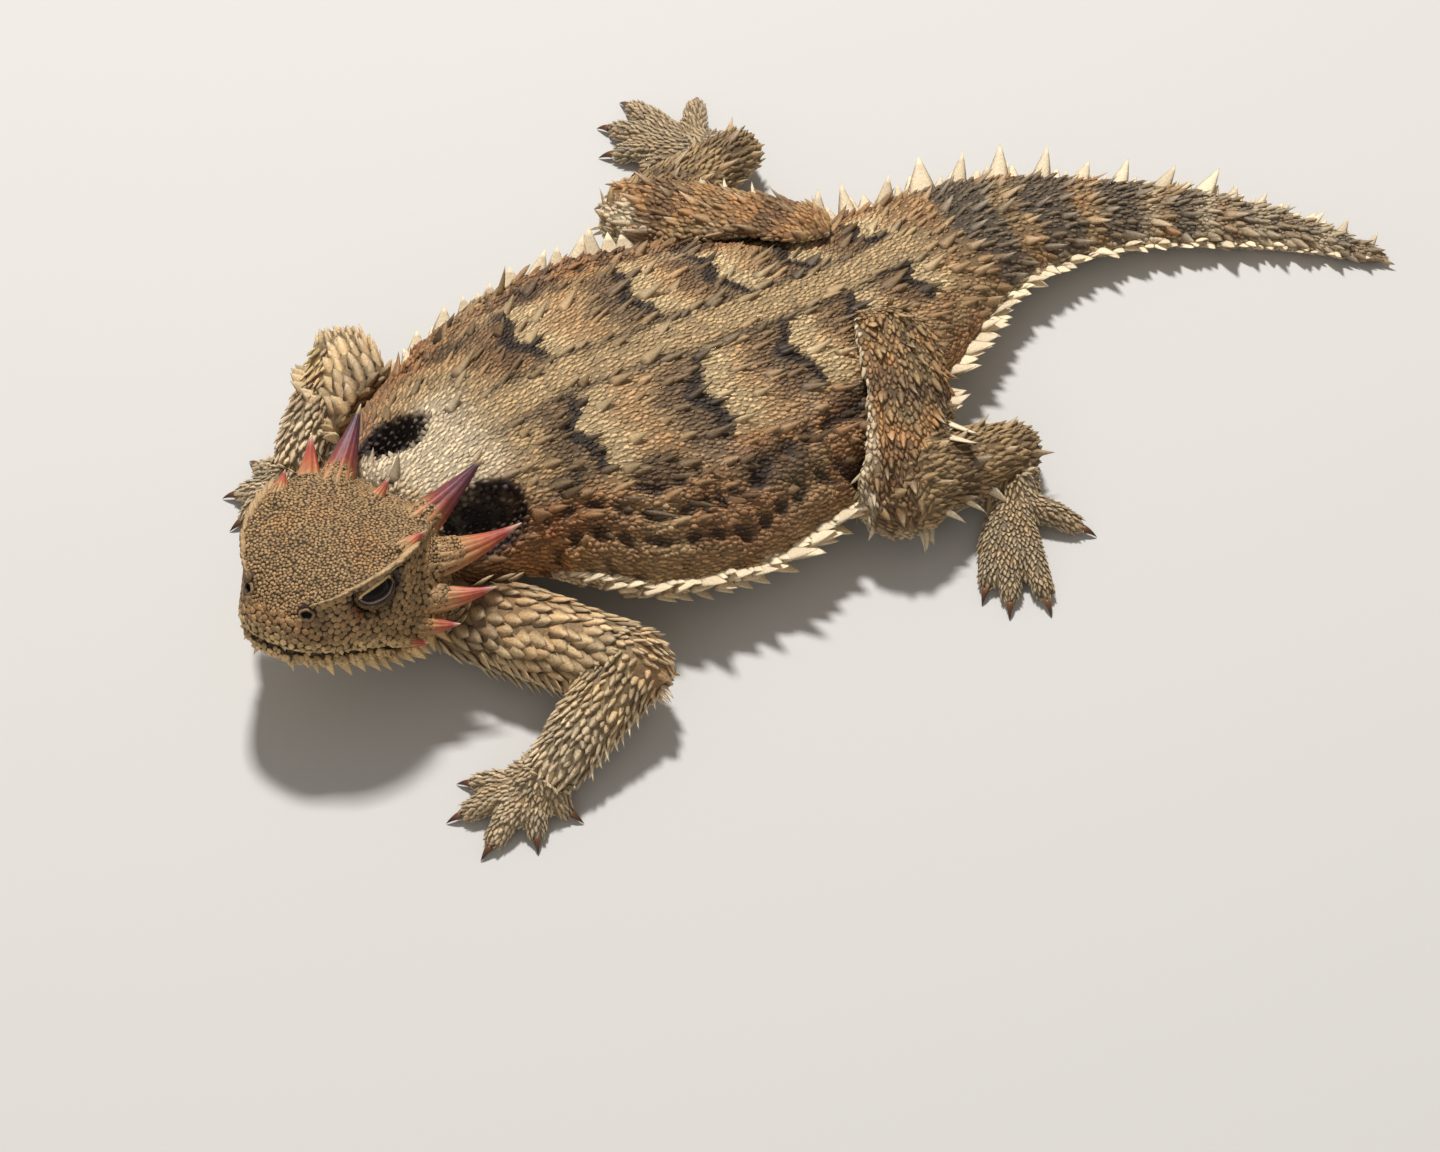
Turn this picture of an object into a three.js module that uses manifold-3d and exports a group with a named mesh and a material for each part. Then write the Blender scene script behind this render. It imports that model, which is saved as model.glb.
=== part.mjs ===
// A horned lizard at life size, standing still with its head raised and turned to its left.
// Millimetres. +Z is up, the head looks along -Y, the animal's left is +X, and z = 0 is the floor.
// The origin is on the floor under the middle of the trunk, on the flat of the belly.
import * as THREE from "three";
import { mergeVertices } from "three/addons/utils/BufferGeometryUtils.js";
import Module from "manifold-3d";

const wasm = await Module();
wasm.setup();

const GAP = 0.4; // air between neighbouring pieces
const FACET = 0.08; // how far a flat facet may stray from the curved surface
const FLOOR_DEPTH = 20; // how deep the cut below the floor reaches
const LEFT = 1;
const RIGHT = -1;

// The body from nape to tail tip. half: half width at the side edge. edge, top, bottom: heights.
// A bottom below zero is cut flat where the animal lies on the floor.
const BODY = [
  { at: "nape", x: 5.6, y: -40, half: 10.4, edge: 11, top: 19.0, bottom: 4.6 },
  { at: "shoulder", x: 0.2, y: -27, half: 17.4, edge: 8.6, top: 19.2, bottom: 2.8 },
  { at: "ribs", x: -0.6, y: -14, half: 24.4, edge: 8, top: 21.4, bottom: 1.2 },
  { at: "waist", x: 1.2, y: 0, half: 27.2, edge: 7.2, top: 22.0, bottom: -0.5 },
  { at: "loin", x: 0.5, y: 15, half: 23.4, edge: 6.6, top: 19.8, bottom: -0.8 },
  { at: "hip", x: -2.0, y: 28, half: 17.0, edge: 6, top: 16, bottom: -0.8 },
  { at: "vent", x: -5.8, y: 41, half: 13.0, edge: 5.2, top: 12.2, bottom: -0.6 },
  { at: "tail base", x: -7.6, y: 54.6, half: 9.6, edge: 4.3, top: 9.4, bottom: -0.5 },
  { at: "tail middle", x: -3.0, y: 70.6, half: 5.6, edge: 3.0, top: 6.6, bottom: -0.5 },
  { at: "tail end", x: 7.0, y: 86.2, half: 3.0, edge: 1.8, top: 3.8, bottom: -0.4 },
  { at: "tail tip", x: 19, y: 97.4, half: 0.7, edge: 0.9, top: 1.6, bottom: 0.1 },
];
const BODY_AROUND = 16;
const BODY_ALONG = 27;
const NECK_CUT_Y = -31;
const TAIL_CUTS_Y = [42, 61, 80]; // vent, then two cuts that part the tail into lengths

// The rows of long scales along the side edge of trunk and tail.
const FRINGE = {
  fromY: -20, toY: 27, count: 13, length: 4.4, radius: 1.6, lift: 0.35, sweep: 0.55,
  taper: (share) => 0.72 + 0.28 * Math.sin(Math.PI * share),
};
const TAIL_FRINGE = {
  fromY: 36, toY: 91, count: 13, length: 5.2, radius: 1.7, lift: 0.5, sweep: 0.35,
  taper: (share) => 1 - 0.72 * share ** 1.3,
};

// The head in its own frame: -Y is forward from the occiput, and z = 0 is at mid cheek.
const HEAD = { x: 7.1, y: -41, z: 12, yaw: 25.4, pitch: -11.7, roll: -6 };
// crown: half width between the brow ridges. cheek: half width at the cheek. jaw: half width of the jaw's edge.
const HEAD_SECTIONS = [
  { at: "nape", f: -4.5, crown: 5.2, cheek: 8.2, jaw: 7.6, top: 7.4, brow: 6.6, lip: -1.5, chin: -5.6 },
  { at: "occiput", f: 0, crown: 8.2, cheek: 11.2, jaw: 10.6, top: 9.4, brow: 9.0, lip: -2.6, chin: -6.8 },
  { at: "temple", f: 5, crown: 9.6, cheek: 11.8, jaw: 11.2, top: 10.2, brow: 10.1, lip: -3.0, chin: -7.0 },
  { at: "eye", f: 10.5, crown: 9.5, cheek: 10.2, jaw: 9.9, top: 9.8, brow: 9.9, lip: -2.2, chin: -6.2 },
  { at: "canthus", f: 15.2, crown: 7.4, cheek: 8.2, jaw: 8.0, top: 8.2, brow: 8.2, lip: -0.8, chin: -4.6 },
  { at: "muzzle", f: 18.9, crown: 4.6, cheek: 5.9, jaw: 5.8, top: 5.9, brow: 5.7, lip: 0.2, chin: -3.0 },
  { at: "snout", f: 21.3, crown: 2.0, cheek: 2.7, jaw: 2.6, top: 3.4, brow: 2.8, lip: 0.7, chin: -1.2 },
];
const HEAD_AROUND = 20;
const HEAD_ALONG = 12;
const CHEEK_HEIGHT = 1.5; // of the widest point, over the lip
const HEAD_CLEARANCE = 1.2; // between head and forelegs
const MOUTH = { snoutF: 27, snoutZ: 0.9, cornerF: 5, cornerZ: -3.6, backF: 3.6, backZ: -12 };
const EYE = { x: 7.4, f: 11.0, z: 6.1, radius: 2.5 };
const NOSTRIL = { x: 4.5, f: 18.6, z: 4.6, radius: 0.6 };

// Horns: base and tip in the head's frame, for the left side. bend lifts the middle of the horn.
const HORNS = [
  { name: "occipital_horn", base: [5.9, 0.6, 7.4], tip: [9.0, -9.2, 13.4], radius: 2.3, bend: -0.5 },
  { name: "temporal_horn_1", base: [9.4, 1.0, 4.9], tip: [15.4, -7.8, 7.4], radius: 2.1, bend: -0.5 },
  { name: "temporal_horn_2", base: [10.6, 4.0, 1.4], tip: [17.2, -0.4, 3.4], radius: 1.7, bend: -0.4 },
  { name: "temporal_horn_3", base: [10.9, 6.2, -0.9], tip: [15.2, 4.0, -0.2], radius: 1.4, bend: -0.3 },
  { name: "temporal_horn_4", base: [10.5, 9.0, -1.8], tip: [13.2, 7.4, -1.8], radius: 0.95, bend: -0.1 },
  { name: "brow_horn", base: [8.9, 7.0, 9.3], tip: [10.2, 3.9, 11.0], radius: 1.2, bend: 0.2 },
];
const NAPE_HORN = { name: "interoccipital_horn", base: [0, 1.0, 8.2], tip: [0, -2.8, 10.2], radius: 1.2, bend: 0 };

// Pointed shields under the edge of the lower jaw, each side.
const CHIN_SPINES = { count: 7, fromF: 18, toF: 6.0, length: 2.6, radius: 0.85 };

// Limbs: joint centres and radii, in the world frame. side names the animal's own side.
const ARMS = [
  {
    side: LEFT, shoulder: [16, -33, 6.0], elbow: [33.2, -21.4, 7.6], wrist: [39.0, -34.4, 4.0],
    palm: [39.4, -38.0, 2.2], radii: [5.8, 5.2, 4.3, 3.6],
    tips: [[35.0, -42.6], [38.0, -45.6], [43.0, -45.0], [44.2, -40.2], [43.0, -36.0]],
  },
  {
    side: RIGHT, shoulder: [-8, -31.5, 8.5], elbow: [-25, -29, 9.2], wrist: [-18.6, -38.6, 4.4],
    palm: [-15.8, -41.6, 2.0], radii: [5.4, 4.6, 4.0, 3.1],
    tips: [[-10.6, -43.8], [-12.4, -46.6], [-15.2, -47.4], [-18.6, -46.2], [-21.0, -42.6]],
  },
];
const LEGS = [
  {
    side: LEFT, hip: [9.6, 26.4, 10.2], knee: [25.0, 20.4, 8.0], ankle: [24.6, 36.6, 4.4],
    sole: [29.6, 33.4, 2.0], radii: [9.0, 7.0, 5.2, 3.3],
    tips: [[34.6, 27.0], [38.6, 24.6], [41.8, 25.8], [43.6, 29.6], [36.2, 38.6]],
  },
  {
    side: RIGHT, hip: [-11.6, 27.4, 9.6], knee: [-29.4, 15.6, 7.6], ankle: [-36.0, 33.0, 4.4],
    sole: [-41.4, 29.4, 2.0], radii: [7.8, 6.0, 4.8, 3.1],
    tips: [[-42.2, 23.6], [-46.4, 21.8], [-50.4, 23.4], [-52.6, 27.2], [-48.8, 34.4]],
  },
];
const FINGER = { base: 1.9, end: 1.4, tipHeight: 1.15, arch: 1.0 };
const CLAW = { length: 1.5, radius: 0.6, rise: 0.2 };
// Long scales on the back of the thigh and of the shank: share along it, length.
const THIGH_SPINES = { shares: [0.42, 0.6, 0.78], length: 4.2, radius: 1.3 };
const SHANK_SPINES = { shares: [0.2, 0.42, 0.64], length: 3.0, radius: 1.0 };

const SKIN = { color: 0x9c8361, roughness: 0.9, metalness: 0 };
const HORN = { color: 0x9a4a3c, roughness: 0.45, metalness: 0 };
const CLAW_BROWN = { color: 0x5c3219, roughness: 0.5, metalness: 0 };
const EYE_DARK = { color: 0x17110c, roughness: 0.12, metalness: 0 };

// A closed geometry as a solid that can be cut and joined.
function solidFrom(geometry) {
  const bare = geometry.index ? geometry.toNonIndexed() : geometry.clone();
  bare.deleteAttribute("normal");
  bare.deleteAttribute("uv");
  const merged = mergeVertices(bare, 1e-4);
  return new wasm.Manifold(
    new wasm.Mesh({
      numProp: 3,
      vertProperties: merged.attributes.position.array,
      triVerts: new Uint32Array(merged.index.array),
    }),
  );
}

// The solid back as a geometry that three.js can draw.
function geometryFrom(solid) {
  const mesh = solid.getMesh();
  const geometry = new THREE.BufferGeometry();
  geometry.setAttribute("position", new THREE.BufferAttribute(mesh.vertProperties, 3));
  geometry.setIndex(new THREE.BufferAttribute(mesh.triVerts, 1));
  geometry.computeVertexNormals();
  return geometry;
}

// A sphere whose rows and columns are laid on surface(v, angle), with v from 0 to 1 from end to end.
function skinned(surface, around, along) {
  const geometry = new THREE.SphereGeometry(1, around, along);
  const place = geometry.attributes.position;
  const uv = geometry.attributes.uv;
  for (let i = 0; i < place.count; i += 1) {
    const column = Math.round(uv.getX(i) * around) % around;
    const row = Math.round((1 - uv.getY(i)) * along);
    const angle = (column / around) * Math.PI * 2;
    const point = surface(row / along, angle);
    place.setXYZ(i, point.x, point.y, point.z);
  }
  return solidFrom(geometry);
}

// A value at share t of an ordered list, on a smooth curve through its entries.
function smooth(values, t) {
  const last = values.length - 1;
  const at = Math.min(Math.max(t, 0), 1) * last;
  const i = Math.min(Math.floor(at), last - 1);
  const u = at - i;
  const before = values[Math.max(i - 1, 0)];
  const after = values[Math.min(i + 2, last)];
  const m0 = (values[i + 1] - before) / 2;
  const m1 = (after - values[i]) / 2;
  const u2 = u * u;
  const u3 = u2 * u;
  return (
    (2 * u3 - 3 * u2 + 1) * values[i] + (u3 - 2 * u2 + u) * m0 +
    (3 * u2 - 2 * u3) * values[i + 1] + (u3 - u2) * m1
  );
}

// How full a round end is at share t, when the rounding takes the share cap of the length.
function roundEnd(t, cap) {
  const near = Math.min(t, 1 - t) / cap;
  return near >= 1 ? 1 : Math.sqrt(Math.max(0, 1 - (1 - near) ** 2));
}

// The body's plan curve, its sideways direction and its section sizes at share t.
function bodyAt(t) {
  const field = (name) => smooth(BODY.map((station) => station[name]), t);
  const step = 0.004;
  const slope = (name) =>
    smooth(BODY.map((s) => s[name]), t + step) - smooth(BODY.map((s) => s[name]), t - step);
  const along = new THREE.Vector3(slope("x"), slope("y"), 0).normalize();
  return {
    centre: new THREE.Vector3(field("x"), field("y"), field("edge")),
    along,
    left: new THREE.Vector3(along.y, -along.x, 0),
    half: field("half"),
    rise: field("top") - field("edge"),
    drop: field("edge") - field("bottom"),
  };
}

// The share of the body's length at which its midline passes y.
function bodyShare(y) {
  let low = 0;
  let high = 1;
  for (let i = 0; i < 40; i += 1) {
    const middle = (low + high) / 2;
    if (bodyAt(middle).centre.y < y) low = middle;
    else high = middle;
  }
  return (low + high) / 2;
}

// Neck, trunk and tail in one: a low dome over a flatter belly, with a side edge.
function bodySolid(grow = 0) {
  const surface = (v, angle) => {
    const t = (1 - Math.cos(v * Math.PI)) / 2 * 0.25 + v * 0.75;
    const s = bodyAt(t);
    const full = roundEnd(t, 0.03);
    const c = Math.cos(angle);
    const z = Math.sin(angle);
    const height = (z > 0 ? s.rise : s.drop) + grow;
    return s.centre
      .clone()
      .addScaledVector(s.left, (s.half + grow) * full * Math.sign(c) * Math.abs(c) ** 0.92)
      .add(new THREE.Vector3(0, 0, height * full * Math.sign(z) * Math.abs(z) ** 0.94));
  };
  return skinned(surface, BODY_AROUND, BODY_ALONG);
}

// A tube through points with a round section that follows radii, and round ends.
function limbSolid(points, radii, { grow = 0, around = 12, along = 10, flat = 1 } = {}) {
  const curve = new THREE.CatmullRomCurve3(points.map((p) => new THREE.Vector3(...p)), false, "centripetal");
  const length = curve.getLength();
  const first = radii[0] + grow;
  const final = radii[radii.length - 1] + grow;
  const total = length + first + final;
  const up = new THREE.Vector3(0, 0, 1);
  const surface = (v, angle) => {
    const t = (1 - Math.cos(v * Math.PI)) / 2;
    const reach = t * total - first;
    const share = Math.min(Math.max(reach / length, 0), 1);
    const tangent = curve.getTangentAt(share);
    const past = reach < 0 ? reach : Math.max(reach - length, 0);
    const centre = curve.getPointAt(share).addScaledVector(tangent, past);
    const end = v === 0 || v === 1 ? 1 : Math.min(Math.abs(past) / (past < 0 ? first : final), 1);
    const radius = (smooth(radii, share) + grow) * Math.sqrt(1 - end * end);
    const side = new THREE.Vector3().crossVectors(up, tangent).normalize();
    const lift = new THREE.Vector3().crossVectors(tangent, side).normalize();
    return centre
      .addScaledVector(side, -radius * Math.cos(angle))
      .addScaledVector(lift, radius * flat * Math.sin(angle));
  };
  return skinned(surface, around, along);
}

// A cone with a curved axis, from base to tip, for horns, claws and long scales.
function spikeSolid(base, tip, radius, { bend = 0, around = 6, along = 4, flat = 1, grow = 0 } = {}) {
  const from = new THREE.Vector3(...base);
  const to = new THREE.Vector3(...tip);
  to.addScaledVector(to.clone().sub(from).normalize(), grow * 2);
  const middle = from.clone().lerp(to, 0.5).add(new THREE.Vector3(0, 0, bend));
  const curve = new THREE.QuadraticBezierCurve3(from, middle, to);
  const up = new THREE.Vector3(0, 0, 1);
  const surface = (v, angle) => {
    const share = Math.max(0, (v * along - 1) / (along - 1));
    const tangent = curve.getTangent(share);
    const side = new THREE.Vector3().crossVectors(up, tangent).normalize();
    const lift = new THREE.Vector3().crossVectors(tangent, side).normalize();
    const swell = v === 0 || v === 1 ? 0 : (radius + grow) * (1 - share * 0.8) * (1 - share ** 4 * 0.2);
    return curve
      .getPoint(share)
      .addScaledVector(side, -swell * Math.cos(angle))
      .addScaledVector(lift, swell * flat * Math.sin(angle));
  };
  return skinned(surface, around, along + 1);
}

// A box between two corners.
function boxSolid(low, high) {
  const size = high.map((value, i) => value - low[i]);
  const geometry = new THREE.BoxGeometry(...size);
  geometry.translate(...high.map((value, i) => (value + low[i]) / 2));
  return solidFrom(geometry);
}

// A thin upright slab across the body at a cut.
function cutSlab(y) {
  const s = bodyAt(bodyShare(y));
  const geometry = new THREE.BoxGeometry(120, GAP, 120);
  geometry.rotateZ(Math.atan2(s.along.y, s.along.x) - Math.PI / 2);
  geometry.translate(s.centre.x, s.centre.y, 0);
  return solidFrom(geometry);
}

// Long scales along both side edges between two stations, growing towards the middle of the row.
function fringeSolids({ fromY, toY, count, length, radius, lift, sweep, taper }, grow = 0) {
  const spikes = [];
  for (const side of [LEFT, RIGHT]) {
    for (let i = 0; i < count; i += 1) {
      const share = i / (count - 1);
      const s = bodyAt(bodyShare(fromY + (toY - fromY) * share));
      const size = taper(share);
      const out = s.left.clone().multiplyScalar(side);
      const base = s.centre.clone().addScaledVector(out, s.half - 1.6);
      base.z = Math.max(base.z, radius * size * 0.6);
      const tip = s.centre
        .clone()
        .addScaledVector(out, s.half + length * size * (1 - sweep * 0.4))
        .addScaledVector(s.along, length * size * sweep)
        .add(new THREE.Vector3(0, 0, length * size * lift));
      spikes.push(
        spikeSolid(base.toArray(), tip.toArray(), radius * size, { around: 4, along: 2, flat: 0.6, grow }),
      );
    }
  }
  return spikes;
}

// Neck, trunk and tail with their side scales, grown for a cut or as they are.
function fringedBody(grow = 0) {
  return joined([bodySolid(grow), ...fringeSolids(FRINGE, grow), ...fringeSolids(TAIL_FRINGE, grow)]);
}

// The head's half section at share t: crown, brow, eye level, cheek, jaw edge and chin on one curve.
function headSection(t, grow) {
  const field = (name) => smooth(HEAD_SECTIONS.map((section) => section[name]), t);
  const middle = (field("top") + field("chin")) / 2;
  const points = [
    [0, field("top")],
    [field("crown") * 0.62, field("top") * 0.55 + field("brow") * 0.45],
    [field("crown"), field("brow")],
    [field("cheek") * 0.55 + field("crown") * 0.45, field("brow") * 0.6 + field("lip") * 0.4],
    [field("cheek"), field("lip") + CHEEK_HEIGHT],
    [field("jaw"), field("lip") - 0.8],
    [field("jaw") * 0.62, field("chin") * 0.86 + field("lip") * 0.14],
    [0, field("chin")],
  ];
  const ring = [...points, ...points.slice(1, -1).reverse().map(([x, z]) => [-x, z])];
  const curve = new THREE.CatmullRomCurve3(
    ring.map(([x, z]) => {
      const out = new THREE.Vector2(x, z - middle);
      out.setLength(out.length() + grow);
      return new THREE.Vector3(out.x, 0, out.y + middle);
    }),
    true,
    "centripetal",
  );
  return { curve, middle, f: field("f") };
}

// The head in its own frame, snout first, closed at both ends.
function headSolid(grow = 0) {
  const surface = (v, angle) => {
    const t = (1 + Math.cos(v * Math.PI)) / 2 * 0.5 + (1 - v) * 0.5;
    const section = headSection(t, grow);
    const point = section.curve.getPoint(1 - angle / (Math.PI * 2));
    const full = roundEnd(t, 0.07);
    const forward = section.f + (t > 0.5 ? grow : -grow);
    return new THREE.Vector3(
      point.x * full, -forward, section.middle + (point.z - section.middle) * full,
    );
  };
  return skinned(surface, HEAD_AROUND, HEAD_ALONG);
}

// The thin cut that parts the lower jaw from the head, as a bent sheet across the mouth.
function mouthCut() {
  const line = [
    [MOUTH.snoutF, MOUTH.snoutZ],
    [MOUTH.cornerF, MOUTH.cornerZ],
    [MOUTH.backF, MOUTH.backZ],
  ];
  const shape = new THREE.Shape();
  shape.moveTo(-line[0][0], line[0][1]);
  shape.lineTo(-line[1][0], line[1][1]);
  shape.lineTo(-line[2][0], line[2][1]);
  shape.lineTo(-line[2][0] - GAP, line[2][1]);
  shape.lineTo(-line[1][0] - GAP, line[1][1] - GAP);
  shape.lineTo(-line[0][0], line[0][1] - GAP);
  const width = 40;
  const geometry = new THREE.ExtrudeGeometry(shape, { depth: width, bevelEnabled: false });
  geometry.applyMatrix4(
    new THREE.Matrix4().makeBasis(
      new THREE.Vector3(0, 1, 0), new THREE.Vector3(0, 0, 1), new THREE.Vector3(1, 0, 0),
    ),
  );
  geometry.translate(-width / 2, 0, 0);
  return solidFrom(geometry);
}

function ball(x, y, z, radius, around = 10, along = 8) {
  const geometry = new THREE.SphereGeometry(radius, around, along);
  geometry.translate(x, y, z);
  return solidFrom(geometry);
}

// [x, forward, z] in the head's frame as a place, for either side.
const headPlace = ([x, f, z], side = LEFT) => [x * side, -f, z];

function chinSpines() {
  const spikes = [];
  for (const side of [LEFT, RIGHT]) {
    for (let i = 0; i < CHIN_SPINES.count; i += 1) {
      const share = i / (CHIN_SPINES.count - 1);
      const f = CHIN_SPINES.fromF + (CHIN_SPINES.toF - CHIN_SPINES.fromF) * share;
      const size = 0.55 + 0.45 * share;
      const t = headShare(f);
      const jaw = smooth(HEAD_SECTIONS.map((s) => s.jaw), t);
      const lip = smooth(HEAD_SECTIONS.map((s) => s.lip), t);
      const low = lip - 2.1;
      spikes.push(
        spikeSolid(
          headPlace([jaw - 1.3, f, low], side),
          headPlace([jaw + CHIN_SPINES.length * 0.75 * size, f - CHIN_SPINES.length * 0.8 * size, low - 0.5], side),
          CHIN_SPINES.radius * size,
          { around: 4, along: 2 },
        ),
      );
    }
  }
  return spikes;
}

// The share of the head's length at which it reaches f.
function headShare(f) {
  let low = 0;
  let high = 1;
  for (let i = 0; i < 30; i += 1) {
    const middle = (low + high) / 2;
    if (smooth(HEAD_SECTIONS.map((s) => s.f), middle) < f) low = middle;
    else high = middle;
  }
  return (low + high) / 2;
}

const joined = (solids) => solids.reduce((all, solid) => all.add(solid));
const cutBy = (solid, cutters) => cutters.reduce((rest, cutter) => rest.subtract(cutter), solid);

// The largest body of a solid, without the crumbs that a cut can leave.
function largest(solid) {
  return solid.decompose().reduce((best, body) => (body.volume() > best.volume() ? body : best));
}

const lizard = new THREE.Group();
const headGroup = new THREE.Group();
const degrees = THREE.MathUtils.degToRad;
headGroup.position.set(HEAD.x, HEAD.y, HEAD.z);
headGroup.rotation.set(degrees(HEAD.pitch), degrees(HEAD.roll), degrees(HEAD.yaw), "ZXY");
headGroup.updateMatrixWorld(true);
lizard.add(headGroup);

const floor = boxSolid([-200, -200, -FLOOR_DEPTH], [200, 200, 0]);
const clearOfHead = headSolid(HEAD_CLEARANCE).transform(headGroup.matrixWorld.elements);

function addPiece(parent, name, solid, look) {
  const mesh = new THREE.Mesh(geometryFrom(solid.simplify(FACET)), new THREE.MeshStandardMaterial(look));
  mesh.name = name;
  parent.add(mesh);
}

const sideName = (side) => (side === LEFT ? "left" : "right");

// Head, lower jaw, eyes and horns.
function addHead() {
  const whole = headSolid();
  const sockets = [LEFT, RIGHT].map((side) => ball(EYE.x * side, -EYE.f, EYE.z, EYE.radius + GAP));
  const nostrils = [LEFT, RIGHT].map((side) => ball(NOSTRIL.x * side, -NOSTRIL.f, NOSTRIL.z, NOSTRIL.radius, 8, 6));
  const [upper, lower] = cutBy(whole, [mouthCut()])
    .decompose()
    .sort((a, b) => b.volume() - a.volume());
  addPiece(headGroup, "head", largest(cutBy(upper, [...sockets, ...nostrils])), SKIN);
  const jaw = largest(joined([lower, ...chinSpines()]).subtract(mouthCut()));
  addPiece(headGroup, "lower_jaw", jaw, SKIN);
  const grown = headSolid(GAP);
  for (const side of [LEFT, RIGHT]) {
    addPiece(headGroup, `eye_${sideName(side)}`, ball(EYE.x * side, -EYE.f, EYE.z, EYE.radius), EYE_DARK);
    for (const horn of HORNS) {
      const spike = spikeSolid(headPlace(horn.base, side), headPlace(horn.tip, side), horn.radius, horn);
      addPiece(headGroup, `${horn.name}_${sideName(side)}`, largest(spike.subtract(grown)), HORN);
    }
  }
  const nape = spikeSolid(headPlace(NAPE_HORN.base), headPlace(NAPE_HORN.tip), NAPE_HORN.radius, NAPE_HORN);
  addPiece(headGroup, NAPE_HORN.name, largest(nape.subtract(grown)), HORN);
}

// Neck, trunk and the tail's lengths, parted by thin cuts, with their side scales.
function addBody() {
  const whole = fringedBody().subtract(floor);
  const headWorld = headSolid(GAP).transform(headGroup.matrixWorld.elements);
  const slabs = [NECK_CUT_Y, ...TAIL_CUTS_Y].map(cutSlab);
  const pieces = cutBy(whole, [...slabs, headWorld])
    .decompose()
    .filter((body) => body.volume() > 8)
    .sort((a, b) => middleOf(a) - middleOf(b));
  const names = ["neck", "trunk", "tail_base", "tail_middle", "tail_tip"];
  names.forEach((name, i) => addPiece(lizard, name, pieces[i], SKIN));
}

function middleOf(solid) {
  const box = solid.boundingBox();
  return (box.min[1] + box.max[1]) / 2;
}

// A hand or foot: a flat pad with five bent fingers, and its claws as separate solids.
function addPad(name, { tips, radii }, wrist, pad, neighbours) {
  const thickness = radii[3];
  const parts = (grow) => {
    const palm = limbSolid([wrist, pad], [thickness, thickness * 1.15], { grow, flat: 0.8, around: 8, along: 5 });
    const fingers = tips.map((tip) => {
      const end = [tip[0], tip[1], FINGER.tipHeight];
      const knuckle = [0, 1].map((i) => pad[i] * 0.42 + tip[i] * 0.58);
      return limbSolid(
        [pad, [...knuckle, FINGER.tipHeight + FINGER.arch], end],
        [FINGER.base * 1.15, FINGER.base, FINGER.end],
        { grow, around: 6, along: 5 },
      );
    });
    return joined([palm, ...fingers]);
  };
  const solid = largest(cutBy(parts(0), [...neighbours, floor]));
  addPiece(lizard, name, solid, SKIN);
  const grown = parts(GAP);
  tips.forEach((tip, i) => {
    const out = new THREE.Vector2(tip[0] - pad[0], tip[1] - pad[1]).normalize();
    const from = [tip[0], tip[1], FINGER.tipHeight + CLAW.rise];
    const reach = FINGER.end + CLAW.length;
    const to = [tip[0] + out.x * reach, tip[1] + out.y * reach, 0.12];
    const claw = spikeSolid(from, to, CLAW.radius, { bend: CLAW.rise, around: 5, along: 2 });
    addPiece(lizard, `${name}_claw_${i + 1}`, largest(cutBy(claw, [grown, floor])), CLAW_BROWN);
  });
}

// Long scales on the back of a limb segment, pointing away from the midline and back.
function limbSpines(from, to, radii, { shares, length, radius }) {
  return shares.map((share) => {
    const place = from.map((value, i) => value + (to[i] - value) * share);
    const thick = radii[0] + (radii[1] - radii[0]) * share;
    const run = new THREE.Vector3(to[0] - from[0], to[1] - from[1], 0).normalize();
    const back = new THREE.Vector3(-run.y, run.x, 0);
    if (back.y < 0) back.negate();
    const base = new THREE.Vector3(...place).addScaledVector(back, thick - 1.4);
    const tip = base
      .clone()
      .addScaledVector(back, 1.4 + length)
      .addScaledVector(run, length * 0.45);
    return spikeSolid(base.toArray(), tip.toArray(), radius, { around: 4, along: 2, flat: 0.6 });
  });
}

function addArm(arm) {
  const name = sideName(arm.side);
  const [r0, r1, r2] = arm.radii;
  const upper = (grow) => limbSolid([arm.shoulder, arm.elbow], [r0, r1], { grow, along: 9 });
  const fore = (grow) => limbSolid([arm.elbow, arm.wrist], [r1 * 0.94, r2 * 0.84], { grow, around: 11, along: 7 });
  const body = fringedBody(GAP);
  addPiece(lizard, `upper_arm_${name}`, largest(cutBy(upper(0), [body, clearOfHead, floor])), SKIN);
  addPiece(lizard, `forearm_${name}`, largest(cutBy(fore(0), [upper(GAP), body, floor])), SKIN);
  addPad(`hand_${name}`, arm, arm.wrist, arm.palm, [fore(GAP), upper(GAP)]);
}

function addLeg(leg) {
  const name = sideName(leg.side);
  const [r0, r1, r2] = leg.radii;
  const thighRadii = [r0, r1];
  const shankRadii = [r1 * 0.9, r2 * 0.78];
  const thigh = (grow) => limbSolid([leg.hip, leg.knee], thighRadii, { grow, around: 10, along: 7 });
  const shank = (grow) => limbSolid([leg.knee, leg.ankle], shankRadii, { grow, around: 9, along: 6 });
  const body = fringedBody(GAP);
  const thighSpines = limbSpines(leg.hip, leg.knee, thighRadii, THIGH_SPINES);
  const shankSpines = limbSpines(leg.knee, leg.ankle, shankRadii, SHANK_SPINES);
  const thighPiece = cutBy(joined([thigh(0), ...thighSpines]), [body, shank(0).subtract(thigh(0)), floor]);
  addPiece(lizard, `thigh_${name}`, largest(thighPiece), SKIN);
  const grownThigh = joined([thigh(GAP), ...limbSpines(leg.hip, leg.knee, [r0 + GAP, r1 + GAP], THIGH_SPINES)]);
  addPiece(lizard, `shank_${name}`, largest(cutBy(joined([shank(0), ...shankSpines]), [grownThigh, body, floor])), SKIN);
  addPad(`foot_${name}`, leg, leg.ankle, leg.sole, [shank(GAP), thigh(GAP), ...shankSpines]);
}

addHead();
addBody();
ARMS.forEach(addArm);
LEGS.forEach(addLeg);

export default lizard;
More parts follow.
